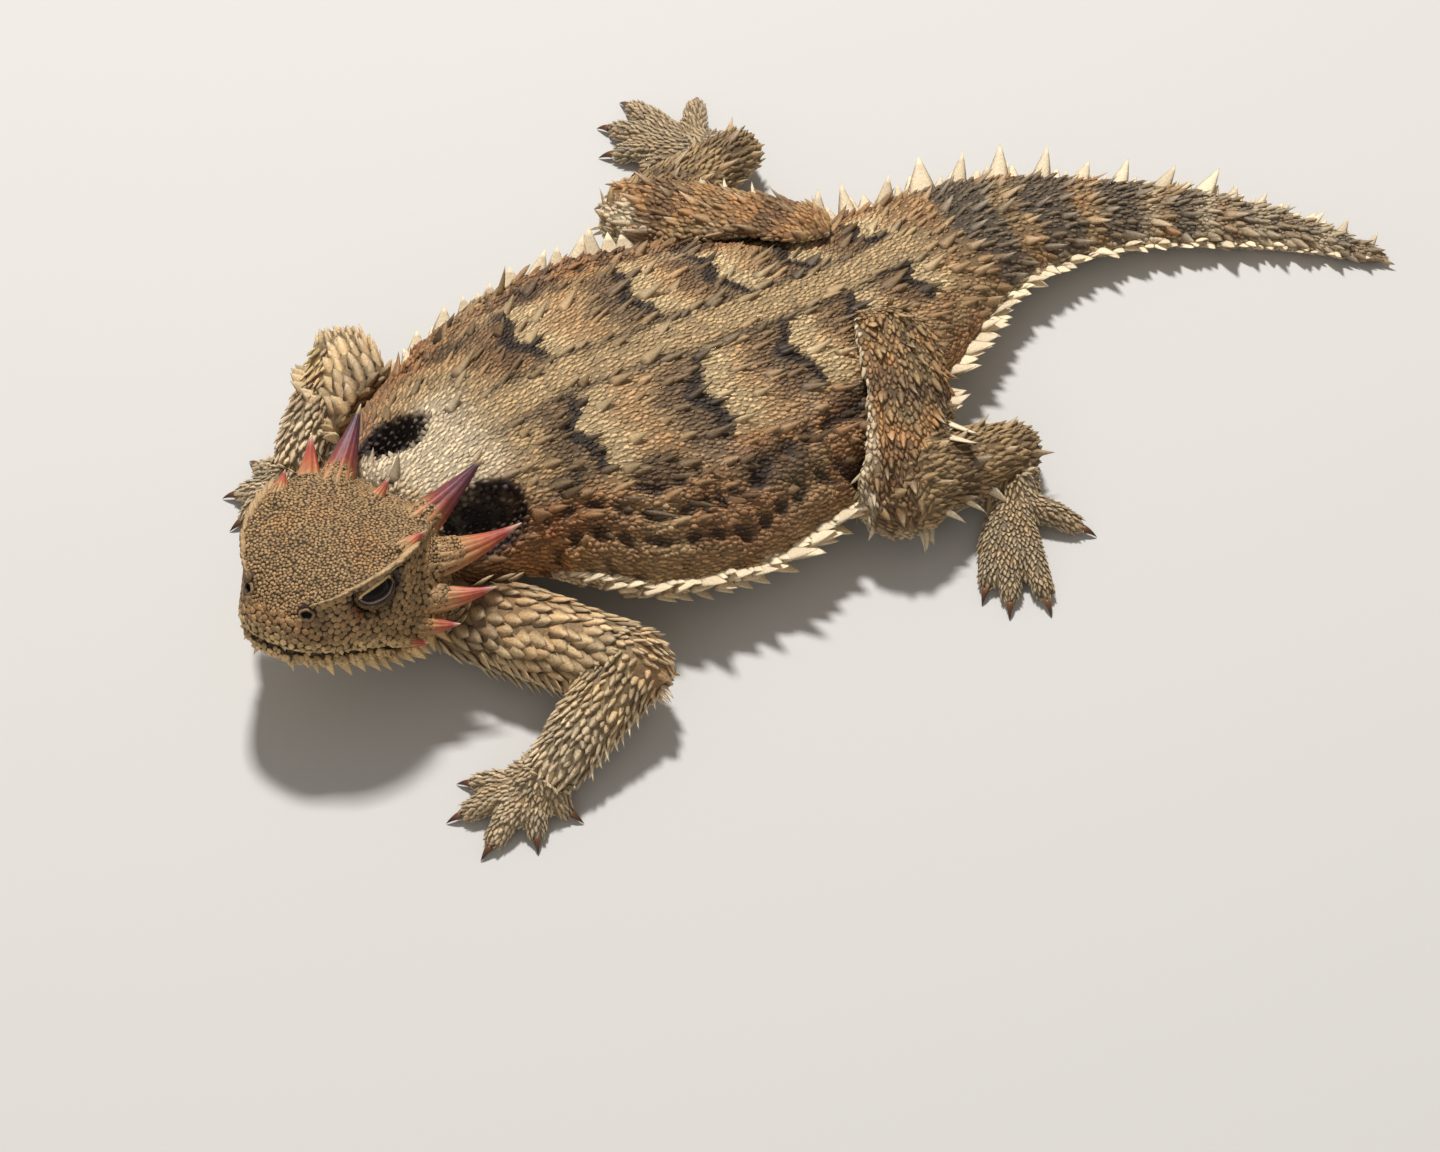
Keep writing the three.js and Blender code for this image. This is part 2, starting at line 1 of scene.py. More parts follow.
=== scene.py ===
# The horned lizard's looks: one skin over the flesh, a coat of scales, horns, claws and eyes.
# Lengths in this file are millimetres until a mesh is made, when they become metres.
import math
import bpy
import numpy as np
import openvdb
from mathutils import Matrix, Vector, kdtree


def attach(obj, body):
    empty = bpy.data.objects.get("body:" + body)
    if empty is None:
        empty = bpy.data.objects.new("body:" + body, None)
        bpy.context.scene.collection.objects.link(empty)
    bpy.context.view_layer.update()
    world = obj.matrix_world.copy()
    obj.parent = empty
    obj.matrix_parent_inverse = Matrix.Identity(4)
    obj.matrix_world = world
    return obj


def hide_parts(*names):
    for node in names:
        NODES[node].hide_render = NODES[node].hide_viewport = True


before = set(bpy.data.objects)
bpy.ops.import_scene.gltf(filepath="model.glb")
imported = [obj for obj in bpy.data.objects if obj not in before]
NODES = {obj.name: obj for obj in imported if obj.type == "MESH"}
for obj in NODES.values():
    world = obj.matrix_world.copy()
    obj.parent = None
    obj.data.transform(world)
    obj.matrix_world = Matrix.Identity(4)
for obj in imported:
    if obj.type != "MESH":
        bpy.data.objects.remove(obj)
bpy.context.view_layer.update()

MM = 0.001
SEED = 7
LEFT = 1
RIGHT = -1
SIDES = ((LEFT, "left"), (RIGHT, "right"))

# Camera, fitted to the photo's 1440 by 1152 frame.
CAMERA_AZIMUTH = 60
CAMERA_ELEVATION = 50
CAMERA_DISTANCE = 620
CAMERA_TARGET = (20.83, -2.20, 0)
CAMERA_LENS = 128.65
SENSOR_WIDTH = 36

# Lights in metres and watts: name, place, size, power.
LIGHTS = [("key", (-0.32, 0.1, 0.8), 0.1, 9.0), ("fill", (0.7, -0.7, 0.6), 0.8, 1.6)]
WORLD_COLOUR = (1, 0.97, 0.93, 1)
WORLD_STRENGTH = 0.32
FLOOR_COLOUR = (0.55, 0.53, 0.5, 1)
EYE_LOOK = {
    "Base Color": (0.006, 0.004, 0.003, 1),
    "Roughness": 0.2,
    "Specular IOR Level": 0.12,
    "Coat Weight": 0.06,
    "Coat Roughness": 0.04,
}

# The skin is cut from a distance field on this grid.
VOXEL = 0.34
FIELD_LOW = (-58, -66, -3)
FIELD_HIGH = (50, 102, 29)
BAND = 13  # voxels on each side of the surface that hold true distances
SEAM = 0.35  # half the widest air between two pieces of flesh
HEAD_BOX = ((-16, -66, 2), (30, -30, 29))  # the parts of the grid that the head and the trunk take up
TRUNK_BOX = ((-36, -36, 0), (36, 34, 24))

# How deep the skin lies in the solids, for the coat that stands on it.
COAT_DEPTH = {"body": 0.4, "limb": 0.25, "foot": 0.12, "head": 0.25}
TIP_DEPTH = 0.05  # at the thin end of the tail

# How much the solids' facets are rounded, and the fillets where parts meet the body.
BLUR = {"body": 1.7, "tail": 0.6, "limb": 0.5, "head": 0.6}
FILLET = {"limb": 1.3, "foot": 1.5, "head": 0.8}

ZONES = ["body", "limb", "foot", "head"]
BODY, LIMB, FOOT, HEAD = range(4)
BODY_NODES = ["neck", "trunk", "tail_base", "tail_middle", "tail_tip"]
HEAD_NODES = ["head", "lower_jaw"]
LIMB_NODES = [
    f"{part}_{side}"
    for side in ("left", "right")
    for part in ("upper_arm", "forearm", "thigh", "shank")
]
FOOT_NODES = [f"{part}_{side}" for side in ("left", "right") for part in ("hand", "foot")]
FLESH_NODES = BODY_NODES + HEAD_NODES + LIMB_NODES + FOOT_NODES

# The spine's plan from nape to tail tip: y, x, half width, height of the side edge.
SPINE = np.array([
    (-40, 5.6, 10.4, 11.0),
    (-27, 0.2, 17.4, 8.6),
    (-14, -0.6, 24.4, 8.0),
    (0, 1.2, 27.2, 7.2),
    (15, 0.5, 23.4, 6.6),
    (28, -2.0, 17.0, 6.0),
    (41, -5.8, 13.0, 5.2),
    (54.6, -7.6, 9.6, 4.3),
    (70.6, -3.0, 5.6, 3.0),
    (86.2, 7.0, 3.0, 1.8),
    (97.4, 19.0, 0.7, 0.9),
])
VENT = 41
SLIM_TAIL = (45, 66)  # over this stretch the skin follows the tail more closely
THIN_TAIL = (66, 84)  # and over this one exactly

# Limb joints, as in the solids: shoulder or hip, elbow or knee, wrist or ankle, middle of the sole.
LIMBS = [
    ((16, -33, 6), (33.2, -21.4, 7.6), (39, -34.4, 4), (39.4, -38, 2.2)),
    ((-8, -31.5, 8.5), (-25, -29, 9.2), (-18.6, -38.6, 4.4), (-15.8, -41.6, 2)),
    ((9.6, 26.4, 10.2), (25, 20.4, 8), (24.6, 36.6, 4.4), (29.6, 33.4, 2)),
    ((-11.6, 27.4, 9.6), (-29.4, 15.6, 7.6), (-36, 33, 4.4), (-41.4, 29.4, 2)),
]
SOLE_RESERVE = 0.8  # how much farther a foot's bone counts than the others
PADS = ["hand_left", "hand_right", "foot_left", "foot_right"]

# The head's own frame, as in the solids: x to the left, f forward, z up.
HEAD_PLACE = (7.1, -41, 12)
HEAD_TURN = (-11.7, -6, 25.4)
EYE_CENTRE = (7.4, 11.0, 6.1)
EYE_RADIUS = 2.5
EYE_OUT = (0.86, 0.36, 0.36)
EYE_ALONG = (-0.25, 0.93, -0.25)
EYE_HOLLOW = {"out": 3.9, "half": (4.6, 2.5, 1.5)}  # bare hollow under the brow: along, up, out
BROW_POCKET = {"place": (-4.6, 1.4, 2.9), "half": (3.2, 1.3, 1.9)}  # behind the eye: along, up, out
LID_HALF = (2.6, 0.6, 0.9)  # half length of the opening, its height over and under the middle
LID_REACH = (3.9, 1.9, 2.8)  # the lids' outer half length, reach up and reach down
LID_AROUND = 96
LID_FOLDS = 22
LID_RINGS = (11, 13, 15, 17, 19)  # folds that carry granules

# The flat crown with its sharp overhanging rim: f, half width, height.
CROWN = np.array([
    (-3.5, 5.6, 7.6),
    (-1, 7.8, 8.8),
    (3, 9.4, 9.8),
    (6, 10.1, 10.1),
    (9, 10.1, 9.7),
    (12, 9.4, 9.1),
    (14.5, 8.2, 8.4),
    (16.5, 6.7, 7.4),
    (18, 4.9, 6.5),
    (19.2, 2.8, 5.6),
    (20, 0.6, 5.0),
])

# Horns in the head's frame, left side: base, tip, radius at the base, how far the middle is lifted.
HORNS = {
    "occipital_horn": ((5.9, 0.6, 7.4), (9.0, -9.2, 13.4), 2.3, -0.7),
    "temporal_horn_1": ((9.4, 1.0, 4.9), (15.4, -7.8, 7.4), 2.2, -1.3),
    "temporal_horn_2": ((10.6, 4.0, 1.4), (17.2, -0.4, 3.4), 1.8, -0.9),
    "temporal_horn_3": ((10.9, 6.2, -0.9), (15.2, 4.0, -0.2), 1.4, -0.4),
    "temporal_horn_4": ((10.5, 9.0, -1.8), (13.2, 7.4, -1.8), 1.0, -0.1),
    "brow_horn": ((8.9, 7.0, 9.3), (10.2, 3.9, 11.0), 1.2, 0.1),
}
NAPE_HORN = ((0, 1.0, 8.2), (0, -2.8, 10.2), 1.2, 0)
BOSS_SHARE = 0.2  # of a horn's length that skin covers
NOSTRIL = (4.3, 18.9, 5.4)
NOSTRIL_RADIUS = 0.7
NOSTRIL_RING = (0.66, 0.24, 0.12)  # radius, thickness, height over the skin
MOUTH_GAP = 0.22  # half the width of the mouth's groove
MOUTH_DEPTH = 0.55
CROWN_RIM = 0.55  # thickness of the crown's rim
MOUTH_LINE = np.array([(4.5, -4.0), (9, -2.6), (14, -1.2), (19, 0.0), (22.5, 0.9)])  # f, z

# Bare dark hollows at the sides of the neck: place and half sizes.
POCKETS = [((10.6, -28.2, 15.6), (3.9, 5.0, 4.2)), ((-4.6, -32.4, 17.4), (3.0, 4.2, 3.6))]


def rgb(red, green, blue):
    """A screen colour as the linear numbers that shaders use."""
    values = np.array([red, green, blue]) / 255
    return np.where(values <= 0.04045, values / 12.92, ((values + 0.055) / 1.055) ** 2.4)


TAN = rgb(172, 140, 98)
SAND = rgb(192, 162, 118)
CREAM = rgb(228, 208, 174)
ORANGE = rgb(178, 118, 62)
RUST = rgb(138, 84, 48)
BROWN = rgb(96, 72, 50)
DARK = rgb(44, 33, 26)
BLACK = rgb(20, 13, 14)
OLIVE = rgb(128, 112, 80)
GREY = rgb(132, 120, 102)
PALE_GREY = rgb(200, 178, 144)
FOOT_GREY = rgb(166, 146, 116)
PATCH_TAN = rgb(212, 184, 138)
LIMB_BROWN = rgb(150, 122, 84)
CROWN_TAN = rgb(152, 122, 84)
SNOUT_TAN = rgb(150, 118, 78)
LIP_GOLD = rgb(206, 172, 118)
LID_DARK = rgb(46, 37, 34)
YELLOW = rgb(222, 194, 122)
BELLY = rgb(216, 202, 172)
PURPLE_BLACK = rgb(44, 30, 34)
LID_PALE = rgb(182, 156, 140)
LID_RIM = rgb(206, 176, 118)


def unit(vector):
    vector = np.asarray(vector, float)
    return vector / np.maximum(np.linalg.norm(vector, axis=-1, keepdims=True), 1e-9)


def mix(a, b, share):
    share = np.asarray(share)[..., None]
    return a * (1 - share) + b * share


def painted(base, *layers):
    """A colour with others laid over it, each by its share."""
    for colour, share in layers:
        base = mix(base, colour, share)
    return base


def step(low, high, value):
    """0 below low, 1 above high, smooth between."""
    t = np.clip((value - low) / (high - low), 0, 1)
    return t * t * (3 - 2 * t)


def band(value, low, high, soft):
    """1 between low and high, 0 outside, with soft edges."""
    return step(low - soft, low + soft, value) * (1 - step(high - soft, high + soft, value))


def hashed(cells, seed):
    """A steady number from 0 to 1 for each whole-number cell."""
    x, y, z = (cells[..., k].astype(np.int64) for k in range(3))
    n = (x * 73856093) ^ (y * 19349663) ^ (z * 83492791) ^ (seed * 2654435761)
    n = (n ^ (n >> 13)) * 1274126177 & 0x7FFFFFFF
    return ((n ^ (n >> 16)) & 0xFFFF) / 65535


def noise(points, size, seed=0):
    """Smooth noise from -1 to 1 with features of about size."""
    at = points / size + 100
    cell = np.floor(at)
    t = at - cell
    t = t * t * (3 - 2 * t)
    total = np.zeros(points.shape[:-1])
    for corner in np.ndindex(2, 2, 2):
        weight = np.prod(np.where(corner, t, 1 - t), axis=-1)
        total += weight * hashed(cell + corner, seed)
    return total * 2 - 1


def cloud(points, size, seed=0):
    return noise(points, size, seed) * 0.65 + noise(points, size * 0.45, seed + 1) * 0.35


def head_matrix():
    pitch, roll, yaw = (math.radians(angle) for angle in HEAD_TURN)
    turn = Matrix.Rotation(yaw, 3, "Z") @ Matrix.Rotation(pitch, 3, "X") @ Matrix.Rotation(roll, 3, "Y")
    flip = Matrix(((1, 0, 0), (0, -1, 0), (0, 0, 1)))
    return np.array(turn @ flip)


HEAD_AXES = head_matrix()


def to_head(points):
    """World points in millimetres as left, forward and up in the head's frame."""
    return (points - np.array(HEAD_PLACE)) @ HEAD_AXES


def from_head(points):
    return np.asarray(points, float) @ HEAD_AXES.T + np.array(HEAD_PLACE)


def mirrored(place, side):
    """A place of the head's left half, on the given side."""
    return np.array(place) * (side, 1, 1)


def crown_half(f):
    return np.interp(f, CROWN[:, 0], CROWN[:, 1])


def crown_top(f):
    return np.interp(f, CROWN[:, 0], CROWN[:, 2])


def mouth_height(f):
    return np.interp(f, MOUTH_LINE[:, 0], MOUTH_LINE[:, 1])


def from_nostril(local, side):
    return np.linalg.norm(local - mirrored(NOSTRIL, side), axis=-1)


def spine_bend(y):
    """The angle between the spine and straight back."""
    return np.arctan(np.interp(y, SPINE[:, 0], np.gradient(SPINE[:, 1], SPINE[:, 0])))


def along_skin(directions, normals, share=1.0):
    """Directions without the share of them that leaves the surface."""
    return directions - normals * np.sum(directions * normals, axis=1, keepdims=True) * share


def tree_of(points):
    tree = kdtree.KDTree(len(points))
    for i, point in enumerate(points):
        tree.insert(point, i)
    tree.balance()
    return tree


def body_place(points):
    """Place along the spine, share of the half width to the left, and height over the side edge."""
    y = points[:, 1]
    bend = spine_bend(y)
    left = (points[:, 0] - np.interp(y, SPINE[:, 0], SPINE[:, 1])) * np.cos(bend)
    along = y + left * np.sin(bend)
    half = np.interp(along, SPINE[:, 0], SPINE[:, 2])
    edge = np.interp(along, SPINE[:, 0], SPINE[:, 3])
    return along, left, left / half, points[:, 2] - edge


def spine_point(along, left=0.0, up=0.0):
    """A point in the world from its place along and beside the spine."""
    bend = spine_bend(along)
    x, _, edge = (np.interp(along, SPINE[:, 0], SPINE[:, column]) for column in (1, 2, 3))
    return np.array([x + left * np.cos(bend), along - left * np.sin(bend), edge + up])


def nearest_bone(points):
    """For each point the limb, its segment, the share along that and the bone's direction.

    Limbs 0 and 1 are the forelegs. Segment 0 is the upper arm or thigh, 1 the lower and 2 the foot.
    """
    best = np.full(len(points), 1e9)
    limb = np.zeros(len(points), int)
    segment = np.zeros(len(points), int)
    share = np.zeros(len(points))
    direction = np.zeros((len(points), 3))
    for i, joints in enumerate(LIMBS):
        for j in range(3):
            a = np.array(joints[j], float)
            run = np.array(joints[j + 1], float) - a
            t = np.clip((points - a) @ run / (run @ run), 0, 1)
            gap = np.linalg.norm(points - a - t[:, None] * run, axis=1) + (SOLE_RESERVE if j == 2 else 0)
            nearer = gap < best
            best[nearer] = gap[nearer]
            limb[nearer] = i
            segment[nearer] = j
            share[nearer] = t[nearer]
            direction[nearer] = run / np.linalg.norm(run)
    return limb, segment, share, direction


def node_triangles(names):
    """The vertices in millimetres and the triangles of some nodes."""
    points = []
    faces = []
    total = 0
    for name in names:
        mesh = NODES[name].data
        mesh.calc_loop_triangles()
        co = np.empty(len(mesh.vertices) * 3, np.float32)
        mesh.vertices.foreach_get("co", co)
        tris = np.empty(len(mesh.loop_triangles) * 3, np.int32)
        mesh.loop_triangles.foreach_get("vertices", tris)
        points.append(co.reshape(-1, 3) / MM)
        faces.append(tris.reshape(-1, 3) + total)
        total += len(mesh.vertices)
    return np.concatenate(points), np.concatenate(faces)


FIELD_ORIGIN = [int(round(v / VOXEL)) for v in FIELD_LOW]
FIELD_SHAPE = [int(round((hi - lo) / VOXEL)) for lo, hi in zip(FIELD_LOW, FIELD_HIGH)]


def level_set(points, **faces):
    return openvdb.FloatGrid.createLevelSetFromPolygons(
        points,
        transform=openvdb.createLinearTransform(voxelSize=VOXEL),
        halfWidth=BAND,
        **faces,
    )


def distance_field(names):
    """Signed distance in millimetres to the nodes together, with the air between them filled."""
    points, faces = node_triangles(names)
    grid = level_set(points, triangles=faces)
    points, quads = grid.convertToQuads(SEAM)
    grid = level_set(points, quads=quads)
    field = np.full(FIELD_SHAPE, BAND * VOXEL, np.float32)
    grid.copyToArray(field, ijk=FIELD_ORIGIN)
    return field + SEAM


def blur(field, reach):
    """Two box blurs along each axis, close to a Gaussian of width reach in millimetres."""
    half = max(1, int(round(reach / VOXEL)))
    width = 2 * half + 1
    for axis in range(3):
        for _ in range(2):
            pad = [(0, 0)] * 3
            pad[axis] = (half + 1, half)
            total = np.cumsum(np.pad(field, pad, mode="edge"), axis=axis, dtype=np.float64)
            high = np.take(total, range(width, total.shape[axis]), axis=axis)
            low = np.take(total, range(0, total.shape[axis] - width), axis=axis)
            field = ((high - low) / width).astype(np.float32)
    return field


def smooth_min(a, b, reach):
    """The nearer of two distances, with a fillet of about reach where they meet."""
    share = np.clip(0.5 + 0.5 * (b - a) / reach, 0, 1)
    return b * (1 - share) + a * share - reach * share * (1 - share)


def smooth_max(a, b, reach):
    return -smooth_min(-a, -b, reach)


def window(low, high):
    """Slices of the field that hold a box, and the places of its voxels."""
    cut = []
    for k in range(3):
        first = max(0, int(low[k] / VOXEL) - FIELD_ORIGIN[k])
        last = min(FIELD_SHAPE[k], int(high[k] / VOXEL) - FIELD_ORIGIN[k])
        cut.append(slice(first, last))
    steps = [(FIELD_ORIGIN[k] + np.arange(cut[k].start, cut[k].stop)) * VOXEL for k in range(3)]
    places = np.stack(np.meshgrid(*steps, indexing="ij"), -1)
    return tuple(cut), places


def crown_distance(x, f, z):
    """Distance to the crown, a slab that is thin at its sharp rim and slightly dished."""
    half = crown_half(f)
    inward = np.clip(half - np.abs(x), 0, 5)
    thickness = CROWN_RIM + 0.5 * inward
    dished = crown_top(f) - 0.3 * np.clip(inward / 3, 0, 1)
    ends = np.maximum(CROWN[0, 0] - f, f - CROWN[-1, 0])
    return np.maximum.reduce([(np.abs(x) - half) * 0.85, z - dished, dished - thickness - z, ends])


def eye_axes(side):
    """The eye's centre and its outward, forward and upward directions, in the head's frame."""
    out = unit(mirrored(EYE_OUT, side))
    along = mirrored(EYE_ALONG, side)
    along = unit(along - out * (along @ out))
    up = np.cross(along, out) * side * -1
    return mirrored(EYE_CENTRE, side), out, along, up if up[2] > 0 else -up


def eye_view(local, side):
    """Distance from the eye's centre, and places along, up and out from it."""
    centre, out, along, up = eye_axes(side)
    offset = local - centre
    return np.linalg.norm(offset, axis=-1), offset @ along, offset @ up, offset @ out


def brow_pocket(a, b, outward):
    """Distance from the middle of the pocket behind the eye, 1 at its wall."""
    places = np.stack([a, b, outward], -1)
    return np.linalg.norm((places - BROW_POCKET["place"]) / BROW_POCKET["half"], axis=-1)


def sink_eyes(part, local):
    """The hollow under the brow ridge, the socket and the pocket behind it."""
    for side in (LEFT, RIGHT):
        distance, a, b, outward = eye_view(local, side)
        half = EYE_HOLLOW["half"]
        deep = (outward - EYE_HOLLOW["out"]) / half[2]
        ball = np.sqrt((a / half[0]) ** 2 + (b / half[1]) ** 2 + deep ** 2)
        part = smooth_max(part, (1 - ball) * half[2], 0.3)
        part = smooth_max(part, (1 - brow_pocket(a, b, outward)) * min(BROW_POCKET["half"]), 0.3)
        socket = np.where(outward > 0, EYE_RADIUS + 0.15 - distance, -9)
        part = smooth_max(part, socket, 0.1)
    return part


def all_horns():
    """Every horn's base and tip on its own side of the head's frame, and its radius."""
    horns = [(side, horn) for side in (LEFT, RIGHT) for horn in HORNS.values()] + [(LEFT, NAPE_HORN)]
    return [(mirrored(base, side), mirrored(tip, side), radius) for side, (base, tip, radius, _) in horns]


def raise_bosses(part, local):
    """The skin's rise round the root of each horn."""
    for base, tip, radius in all_horns():
        run = tip - base
        t = np.clip((local - base) @ run / (run @ run), -0.2, BOSS_SHARE)
        gap = np.linalg.norm(local - base - t[..., None] * run, axis=-1)
        part = smooth_min(part, gap - radius * (1.0 - 1.1 * t), 0.9)
    return part


def shape_head(field):
    """Crown, horn bosses, eye sockets, nostrils and mouth line on the field round the head."""
    cut, places = window(*HEAD_BOX)
    local = to_head(places)
    x, f, z = local[..., 0], local[..., 1], local[..., 2]
    part = sink_eyes(raise_bosses(field[cut], local), local)
    part = smooth_min(part, crown_distance(x, f, z), 0.2)
    for side in (LEFT, RIGHT):
        part = smooth_max(part, NOSTRIL_RADIUS - from_nostril(local, side), 0.1)
    groove = np.maximum(np.abs(z - mouth_height(f)) - MOUTH_GAP, MOUTH_LINE[0, 0] - f)
    cut_back = smooth_max(part, np.minimum(0.3 - groove, part + MOUTH_DEPTH), 0.2)
    part = np.where(groove < 0.3, cut_back, part)
    field[cut] = part
    return field


def flank_folds(points):
    """Wrinkles of the loose skin on the flanks: above 0 in a crease, below 0 on a fold."""
    along, _, share, up = body_place(points)
    side = np.abs(share)
    lengthwise = np.sin(side * 51 + 4 * noise(points, 9, 5))
    crosswise = np.sin((along + 3.5 * noise(points, 7, 3)) * 2.1 + 5 * side)
    reach = band(side, 0.66, 0.97, 0.07) * band(along, -24, 23, 5) * (up > -2)
    return (0.65 * lengthwise + 0.45 * crosswise) * reach


def side_edge(points):
    """1 on the pale folded rim between back and belly, 0 away from it."""
    along, _, share, up = body_place(points)
    wave = 0.5 * np.sin(along * 0.9 + 2 * noise(points, 8, 6))
    across = np.exp(-((np.abs(share) - 0.97) / 0.07) ** 2)
    return across * np.exp(-((up - 0.2 - wave) / 1.1) ** 2) * band(along, -27, 30, 3)


def pocket_balls(places):
    """For each neck pocket the distance from its middle, 1 at its wall."""
    return [np.linalg.norm((places - np.array(centre)) / half, axis=-1) for centre, half in POCKETS]


def shape_body(field):
    """Neck pockets, the folds of the flanks and the rim along each side."""
    cut, places = window(*TRUNK_BOX)
    flat = places.reshape(-1, 3)
    depth = 0.55 * flank_folds(flat) - 0.75 * side_edge(flat)
    part = field[cut] + depth.reshape(places.shape[:-1])
    for (_, half), ball in zip(POCKETS, pocket_balls(places)):
        part = smooth_max(part, (1 - ball) * min(half), 1.2)
    field[cut] = part
    return field


def make_fields():
    names = {"body": BODY_NODES, "limb": LIMB_NODES, "foot": FOOT_NODES, "head": HEAD_NODES}
    fields = {zone: distance_field(names[zone]) for zone in ZONES}
    body = fields["body"]
    rows = (FIELD_ORIGIN[1] + np.arange(FIELD_SHAPE[1])) * VOXEL
    slim, thin = (step(*ends, rows)[None, :, None].astype(np.float32) for ends in (SLIM_TAIL, THIN_TAIL))
    rounded = blur(body, BLUR["body"]) * (1 - slim) + blur(body, BLUR["tail"]) * slim
    fields["body"] = rounded * (1 - thin) + body * thin
    for zone in ("limb", "head"):
        fields[zone] = blur(fields[zone], BLUR[zone])
    for zone in ZONES:
        fields[zone] += COAT_DEPTH[zone]
    fields["body"] -= (COAT_DEPTH["body"] - TIP_DEPTH) * thin
    return fields


def join_fields(fields):
    field = smooth_min(shape_body(fields["body"].copy()), fields["limb"], FILLET["limb"])
    field = smooth_min(field, fields["foot"], FILLET["foot"])
    return smooth_min(field, shape_head(fields["head"].copy()), FILLET["head"])


def surface_of(field):
    grid = openvdb.FloatGrid(BAND * VOXEL)
    grid.transform = openvdb.createLinearTransform(voxelSize=VOXEL)
    grid.copyFromArray(field, ijk=FIELD_ORIGIN)
    return grid.convertToQuads()


def zone_of(points, fields):
    """Which part of the body each point belongs to, as a number in ZONES."""
    at = [
        np.clip(np.round(points[:, k] / VOXEL).astype(int) - FIELD_ORIGIN[k], 0, FIELD_SHAPE[k] - 1)
        for k in range(3)
    ]
    return np.argmin([fields[zone][at[0], at[1], at[2]] for zone in ZONES], axis=0)


def hand_over(piece, material, replaced=(), smooth=True):
    """A piece's smooth shading and material. The piece goes under the root, and the nodes it replaces are
    hidden.
    """
    if smooth:
        piece.data.polygons.foreach_set("use_smooth", np.ones(len(piece.data.polygons), bool))
    piece.data.materials.append(material)
    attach(piece, "root")
    if replaced:
        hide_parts(*replaced)


def new_object(name, points, faces):
    """A mesh object from points in millimetres and faces of one size."""
    mesh = bpy.data.meshes.new(name)
    corners = faces.shape[1]
    mesh.vertices.add(len(points))
    mesh.vertices.foreach_set("co", (points * MM).astype(np.float32).ravel())
    mesh.loops.add(faces.size)
    mesh.loops.foreach_set("vertex_index", faces.astype(np.int32).ravel())
    mesh.polygons.add(len(faces))
    mesh.polygons.foreach_set("loop_start", np.arange(0, faces.size, corners, dtype=np.int32))
    mesh.update(calc_edges=True)
    thing = bpy.data.objects.new(name, mesh)
    bpy.context.scene.collection.objects.link(thing)
    return thing


def set_colours(thing, colours):
    layer = thing.data.color_attributes.new("tint", "FLOAT_COLOR", "POINT")
    layer.data.foreach_set("color", np.column_stack([colours, np.ones(len(colours))]).ravel())


def vertex_normals(points, faces):
    a, b, c, d = (points[faces[:, k]] for k in range(4))
    crossed = np.cross(c - a, d - b)
    normals = np.zeros_like(points, dtype=float)
    for k in range(4):
        for axis in range(3):
            normals[:, axis] += np.bincount(faces[:, k], crossed[:, axis], len(points))
    return unit(normals)


# Markings

# Dark blotches with scalloped rear edges and pale patches behind: place along, place beside, half width.
BLOTCHES = [(-12.5, 9.0, 6.0), (3.0, 9.6, 6.4), (15.5, 8.2, 5.6), (26.5, 6.6, 4.4), (37.0, 5.4, 3.4)]
LOW_BLOTCHES = [(-8.0, 16.5, 3.0), (5.0, 20.0, 3.2), (16.0, 16.5, 3.0), (-19.0, 13.0, 2.2)]
TAIL_BANDS = [(50.5, 3.6), (60.5, 3.4), (69.5, 3.0), (77.5, 2.6), (84.5, 2.2), (91.0, 2.2)]  # along, half


